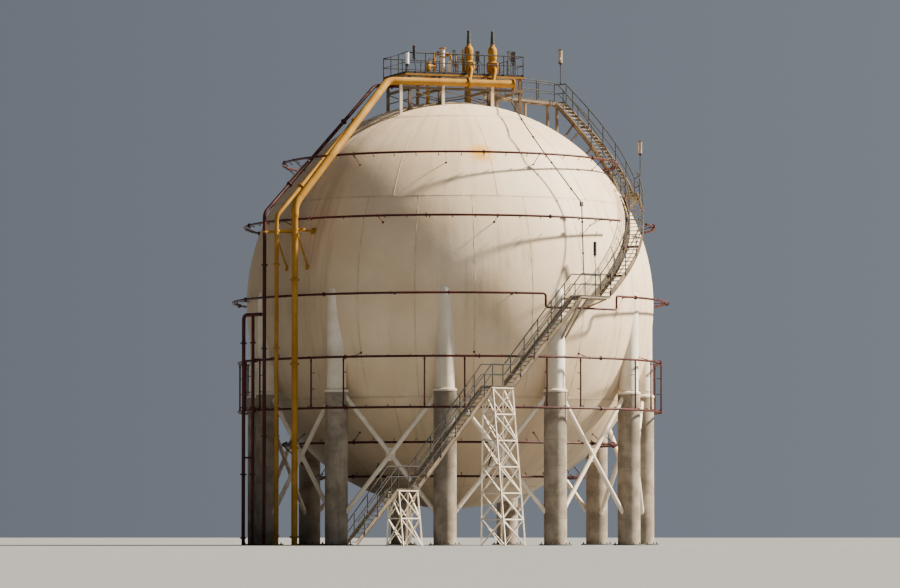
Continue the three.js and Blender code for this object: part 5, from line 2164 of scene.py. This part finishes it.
@dataclass
class VapourValve(Part):
    """The globe valve with a hand wheel that stands on the platform."""

    u: float = -1.7
    line: float = -1.5
    body: Outline = (
        (0.085, 11.25), (0.165, 11.26), (0.165, 11.30), (0.09, 11.31), (0.09, 11.39), (0.185, 11.405),
        (0.185, 11.45), (0.11, 11.47), (0.15, 11.54), (0.165, 11.61), (0.15, 11.68), (0.11, 11.75),
        (0.185, 11.77), (0.185, 11.815), (0.0, 11.82),
    )

    def build(self) -> None:
        """Makes the valve."""
        shape = Shape(self.paints.yellow)
        platform, u, line = self.site.platform, self.u, self.line
        foot = shell_level(math.hypot(u, line)) - SUNK
        shape.turned([(0.0, foot), (0.085, foot), *self.body], Matrix.Translation(platform(u, line, 0.0)), 24)
        start, neck, end = (platform(u + reach, line, 11.61) for reach in (0.1, 0.24, 0.40))
        shape.rod(start, end, 0.05, 14)
        shape.rod(start, neck, 0.085, 14)
        shape.use(self.paints.red)
        shape.wheel(end, (end - start).normalized(), 0.17, 24, 5, 0.009)
        shape.piece("globe_valve", Slot.YELLOW, ["vapour_valve"])


# Small electrical and deck fittings


@dataclass
class Conduit(Part):
    """Electrical conduit from the platform, over the spray rings, to the second landing's rail."""

    reach: float = 10.67
    radius: float = 0.03
    clamp_spacing: float = 1.2
    stations: Outline = ((3.0, 9.69), (3.6, 8.43), (4.39, 7.14), (6.25, 4.55), (6.28, 4.34), (6.33, 1.30))
    boxes: Outline = ((4.56, 6.9), (6.29, 3.76))

    def _point(self, x: float, level: float) -> Vector:
        """A point on the front, held off the skin like the rings."""
        y = math.sqrt(self.reach**2 - x**2 - level**2)
        return Vector((self.site.x + x, self.site.y - y, CENTRE_HEIGHT + level))

    def build(self) -> None:
        """Makes the conduit with its couplings, clamps and joint box."""
        shape = Shape(self.paints.rail)
        points = [self._point(*station) for station in self.stations]
        foot = self.site.tangent(1.02, 10.62, CENTRE_HEIGHT + 1.03)
        path = [self.site.platform(2.5, -2.22, 10.40), *points, foot]
        shape.pipe(rounded(path, 0.08, 4), self.radius, 10)
        for start, end in zip(path, path[1:]):
            along = (end - start).normalized()
            count = int((end - start).length / self.clamp_spacing)
            for i in range(count):
                shape.band(start.lerp(end, (i + 0.5) / count), along, 0.045, self.radius * 1.7, 10)
        shape.use(self.paints.dark_steel)
        for station in self.boxes:
            shape.block(self._point(*station), 0.1, 0.1, 0.12)
        lead = self.site.outwards(40.0)
        shape.box(basis(self._point(6.265, 4.45), lead.cross(UP), lead, UP), 0.16, 0.1, 0.22)
        shape.piece("conduit_line", Slot.STEEL)


@dataclass(frozen=True)
class Lamp:
    """One tubular light on a bent post."""

    foot: Vector
    base: Vector
    length: float
    radius: float
    cover: bpy.types.Material

    def add(self, shape: Shape, metal: bpy.types.Material) -> None:
        """Adds the post, the holder, the cover and its cap.

        Args:
            shape: The mesh that it joins.
            metal: Finish of the post and the holder.
        """
        shape.use(metal)
        foot, base, radius, top = self.foot, self.base, self.radius, self.length
        knee = Vector((foot.x, foot.y, mix(foot.z, base.z, 0.45)))
        bend = Vector((base.x, base.y, mix(foot.z, base.z, 0.8)))
        shape.pipe(rounded([foot, knee, bend, base + UP * 0.01], 0.05, 4), 0.02, 10)
        shape.rod(foot + UP * 0.02, foot + UP * 0.07, 0.035, 12)
        holder = [(0.0, 0.0), (0.045, 0.0), (0.05, 0.06), (radius, 0.075), (radius, 0.12), (0.0, 0.12)]
        shape.turned(holder, Matrix.Translation(base), 20)
        cap = [(0.0, top - 0.07), (radius, top - 0.07), (radius, top - 0.03), (0.05, top), (0.0, top)]
        shape.turned(cap, Matrix.Translation(base), 20)
        shape.use(self.cover)
        tube = radius * 0.93
        cover = [(0.0, 0.115), (tube, 0.115), (tube, top - 0.065), (0.0, top - 0.065)]
        shape.turned(cover, Matrix.Translation(base), 20)


@dataclass
class LightFittings(Part):
    """The tubular lights at the platform, the stair head and the landings."""

    def build(self) -> None:
        """Makes all the lights, from the platform down the stair."""
        site, glass, dark, zinc = self.site, self.paints.lamp, self.paints.rail, self.paints.zinc
        platform, walkway, polar, tangent = site.platform, site.walkway, site.polar, site.tangent
        rail = CENTRE_HEIGHT + 1.02
        lamps = (
            Lamp(platform(-2.90, -1.86, 11.2), platform(-2.94, -1.98, 11.52), 0.74, 0.1, glass),
            Lamp(platform(-2.45, -1.86, 11.2), platform(-2.57, -1.97, 11.84), 0.72, 0.09, dark),
            Lamp(walkway(9.06, 0.42, 11.62), walkway(9.06, 0.42, 12.6), 0.82, 0.11, zinc),
            Lamp(polar(88.0, 9.37, rail + 5.4), polar(86.5, 9.37, rail + 6.31), 0.76, 0.105, zinc),
            Lamp(tangent(0.25, 10.625, rail), tangent(0.28, 10.60, rail + 0.88), 0.72, 0.085, dark),
        )
        shape = Shape(dark)
        for lamp in lamps:
            lamp.add(shape, dark)
        shape.piece("light_fittings", Slot.STEEL)


@dataclass
class DeckFittings(Part):
    """Small valves, gauges and stubs that stand on the roof platform."""

    deck: float = 11.2
    boxes: Sequence[tuple[float, float, float]] = ((1.0, -1.2, 1.28), (2.75, -1.55, 1.28))
    valves: Sequence[tuple[float, float, float]] = ((-1.28, -1.2, 1.15), (-0.1, -1.1, 1.0), (0.12, -1.5, 1.3))
    gauges: Sequence[tuple[float, float, float]] = ((-0.02, -0.6, 1.36), (2.45, -1.65, 1.30), (2.85, -1.0, 1.25))

    def _valve(self, shape: Shape, u: float, v: float, height: float) -> None:
        """Adds a small gate valve on an upright branch.

        Args:
            shape: The mesh that it joins.
            u: Its place to the right on the platform.
            v: Its place to the back on the platform.
            height: Its height above the deck.
        """
        platform, deck = self.site.platform, self.deck
        foot, top = platform(u, v, deck - 0.05), platform(u, v, deck + height)
        shape.use(self.paints.yellow)
        shape.rod(foot, top, 0.035, 12)
        body = foot.lerp(top, 0.62)
        for lift in (-0.11, 0.11):
            shape.flange(body + UP * lift, UP, 0.085, 0.014, 6)
        shape.ball(body, 0.08, 14)
        out = (platform(u - 1.0, v - 0.5, deck) - platform(u, v, deck)).normalized()
        shape.use(self.paints.dark_steel)
        shape.rod(body, body + out * 0.27, 0.022, 10)
        shape.wheel(body + out * 0.26, out, 0.12, 20, 4, 0.008)

    def _stand(self, shape: Shape, u: float, v: float, height: float, radius: float, plate: float) -> Vector:
        """Adds a post on a foot plate.

        Args:
            shape: The mesh that it joins.
            u: Its place to the right on the platform.
            v: Its place to the back on the platform.
            height: Height of its head above the deck.
            radius: Its radius.
            plate: Width of the plate.

        Returns:
            Its foot.
        """
        foot = self.site.platform(u, v, self.deck - 0.01)
        shape.use(self.paints.dark_steel)
        shape.rod(foot, self.site.platform(u, v, self.deck + height), radius, 10)
        shape.block(foot + UP * 0.008, plate, plate, 0.016)
        return foot

    def _gauge(self, shape: Shape, u: float, v: float, height: float) -> None:
        """Adds a dial gauge with a cross arm on a slim post.

        Args:
            shape: The mesh that it joins.
            u: Its place to the right on the platform.
            v: Its place to the back on the platform.
            height: Its height above the deck.
        """
        self._stand(shape, u, v, height, 0.026, 0.16)
        top = self.site.platform(u, v, self.deck + height)
        front = self.site.outwards(self.site.platform_turn)
        dial, bar = top - UP * 0.08, top - UP * 0.26
        shape.rod(dial + front * 0.03, dial + front * 0.09, 0.085, 20)
        arm = front.cross(UP) * 0.2
        shape.beam(bar - arm, bar + arm, 0.03, 0.05)

    def _manifold(self, shape: Shape) -> None:
        """Adds the thick upright branch with a nozzle on each side.

        Args:
            shape: The mesh that it joins.
        """
        platform, deck = self.site.platform, self.deck
        stub = platform(-0.75, -1.0, deck - 0.05)
        aside = (platform(0.0, -1.0, deck) - platform(-1.0, -1.0, deck)).normalized()
        shape.rod(stub, stub + UP * 1.42, 0.115, 20)
        shape.use(self.paints.yellow)
        for height in (0.08, 1.0, 1.42):
            shape.flange(stub + UP * height, UP, 0.17, 0.02)
        for way, level in ((-1.0, 1.16), (1.0, 1.12)):
            start = stub + UP * level
            knee = start + aside * 0.42 * way
            shape.pipe(rounded([start, knee, knee - UP * (level - 0.02)], 0.1, 4), 0.05, 12)
            for reach in (0.2, 0.26):
                shape.flange(start + aside * reach * way, aside, 0.105, 0.02, 6)
            shape.ball(knee - UP * 0.3, 0.085, 14)
            shape.flange(knee - UP * 0.4, UP, 0.1, 0.016, 6)

    def _control_box(self, shape: Shape, u: float, v: float, height: float) -> None:
        """Adds a dark control box on a post, with its conduit.

        Args:
            shape: The mesh that it joins.
            u: Its place to the right on the platform.
            v: Its place to the back on the platform.
            height: Its height above the deck.
        """
        foot = self._stand(shape, u, v, height - 0.01, 0.03, 0.18)
        top, aside = foot + UP * height, Vector((0.22, 0.0, 0.0))
        shape.block(top - UP * 0.25, 0.2, 0.14, 0.5)
        shape.block(top - UP * 0.62, 0.12, 0.12, 0.14)
        shape.pipe(rounded([top - UP * 0.45, top - UP * 0.62 + aside, foot + aside], 0.06, 4), 0.014, 8)

    def build(self) -> None:
        """Makes the fittings as one piece."""
        shape = Shape(self.paints.white)
        self._manifold(shape)
        for spot in self.boxes:
            self._control_box(shape, *spot)
        shape.use(self.paints.white)
        for level, size in ((0.45, (0.2, 0.16, 0.6)), (0.08, (0.06, 0.06, 0.17))):
            shape.block(self.site.platform(-0.50, -1.3, self.deck + level), *size)
        for spot in self.valves:
            self._valve(shape, *spot)
        for spot in self.gauges:
            self._gauge(shape, *spot)
        shape.piece("deck_fittings", Slot.WHITE)


# Scene around the tank


@dataclass
class Studio:
    """Floor, light and camera."""

    site: Site
    distance: float = 225.0
    eye_height: float = 0.5
    aim_height: float = 12.35
    lens: float = 183.0
    floor_size: float = 600.0
    floor_colours: tuple[Colour, Colour] = ((0.195, 0.198, 0.20), (0.21, 0.213, 0.215))
    sun_direction: tuple[float, float, float] = (-0.76, -0.11, -0.64)
    sun_strength: float = 17.0
    sun_angle: float = 5.0
    sun_colour: Colour = (1.0, 0.905, 0.75)
    sky_colour: Colour = (0.76, 0.85, 1.0)
    sky_left: float = 0.02
    sky_right: float = 0.44

    def _floor(self) -> None:
        """Makes a plain pale floor."""
        mesh = bmesh.new()
        place = Matrix.Translation((0.0, 0.0, -0.002))
        bmesh.ops.create_grid(mesh, x_segments=1, y_segments=1, size=self.floor_size, matrix=place)
        data = bpy.data.meshes.new("floor")
        mesh.to_mesh(data)
        mesh.free()
        bench = NodeBench("pale_floor")
        colour = bench.blend(bench.noise(bench.place, 0.05, 2.0), *self.floor_colours)
        data.materials.append(bench.finish(colour, 0.9))
        floor = bpy.data.objects.new("floor", data)
        bpy.context.collection.objects.link(floor)
        floor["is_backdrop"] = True

    def _light(self) -> None:
        """Makes a soft sun from the upper right and a pale sky."""
        sun = bpy.data.lights.new("key", "SUN")
        sun.energy = self.sun_strength
        sun.angle = math.radians(self.sun_angle)
        sun.color = self.sun_colour
        lamp = bpy.data.objects.new("key", sun)
        lamp.rotation_mode = "QUATERNION"
        lamp.rotation_quaternion = Vector(self.sun_direction).to_track_quat("-Z", "Y")
        bpy.context.collection.objects.link(lamp)
        world = bpy.data.worlds.new("sky")
        world.use_nodes = True
        tree = world.node_tree
        background = tree.nodes["Background"]
        background.inputs["Color"].default_value = (*self.sky_colour, 1.0)
        direction = tree.nodes.new("ShaderNodeTexCoord")
        split = tree.nodes.new("ShaderNodeSeparateXYZ")
        fall = tree.nodes.new("ShaderNodeMapRange")
        ends = {"From Min": -0.8, "From Max": 0.8, "To Min": self.sky_left, "To Max": self.sky_right}
        for socket, value in ends.items():
            fall.inputs[socket].default_value = value
        tree.links.new(direction.outputs["Generated"], split.inputs[0])
        tree.links.new(split.outputs["X"], fall.inputs["Value"])
        tree.links.new(fall.outputs["Result"], background.inputs["Strength"])
        bpy.context.scene.world = world

    def _camera(self) -> None:
        """Sets a long lens up at the photograph's place."""
        eye = Vector((self.site.x, self.site.y - self.distance, self.eye_height))
        aim = Vector((self.site.x, self.site.y, self.aim_height))
        data = bpy.data.cameras.new("camera")
        data.lens = self.lens
        data.sensor_width = 36.0
        data.clip_start = 1.0
        data.clip_end = 2000.0
        camera = bpy.data.objects.new("camera", data)
        camera.location = eye
        camera.rotation_mode = "QUATERNION"
        camera.rotation_quaternion = (aim - eye).to_track_quat("-Z", "Y")
        bpy.context.collection.objects.link(camera)
        bpy.context.scene.camera = camera

    def build(self) -> None:
        """Sets up the scene round the tank."""
        self._floor()
        self._light()
        self._camera()


def tank_axis() -> tuple[float, float]:
    """The tank's axis, as the middle of its leg feet.

    Returns:
        Its x and y.
    """
    feet = [mount["pos_m"] for mount in frame["record"]["mounts"] if mount["name"].startswith("leg_foot")]
    return sum(foot[0] for foot in feet) / len(feet), sum(foot[1] for foot in feet) / len(feet)


def main() -> None:
    """Builds the looks of the tank, piece by piece."""
    logging.basicConfig(level=logging.INFO, format="%(message)s")
    site = Site(*tank_axis())
    Studio(site).build()
    paints = Paintbox(site)
    Shell(site, paints).build()
    BottomOutlet(site, paints).build()
    for number in range(LEG_COUNT):
        Leg(site, paints, number).build()
        CrossBrace(site, paints, number).build()
    SprayRings(site, paints).build()
    FireWaterRisers(site, paints).build()
    Stair(site, paints, StairPlan(site)).build()
    Roof(site, paints).build()
    VentPipe(site, paints).build()
    side_pipes = (
        ("side_pipe_yellow", 1.35, 0.10, 3.9, -3.59, -1.5, -0.6, paints.yellow, Slot.YELLOW),
        ("side_pipe_red", 2.25, 0.09, 4.1, -3.6, -2.15, 0.89, paints.red, Slot.RED),
    )
    for sizes in side_pipes:
        SidePipe(site, paints, *sizes).build()
    PipeGuide(site, paints).build()
    Conduit(site, paints).build()
    LightFittings(site, paints).build()
    DeckFittings(site, paints).build()
    for number, u in enumerate((0.434, 1.677), start=1):
        ReliefValve(site, paints, number, u).build()
    VapourValve(site, paints).build()
    sizes = {"cad": [list(corner) for corner in cad_bounds], "visual": [list(corner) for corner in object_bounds()]}


if __name__ == "__main__":
    main()
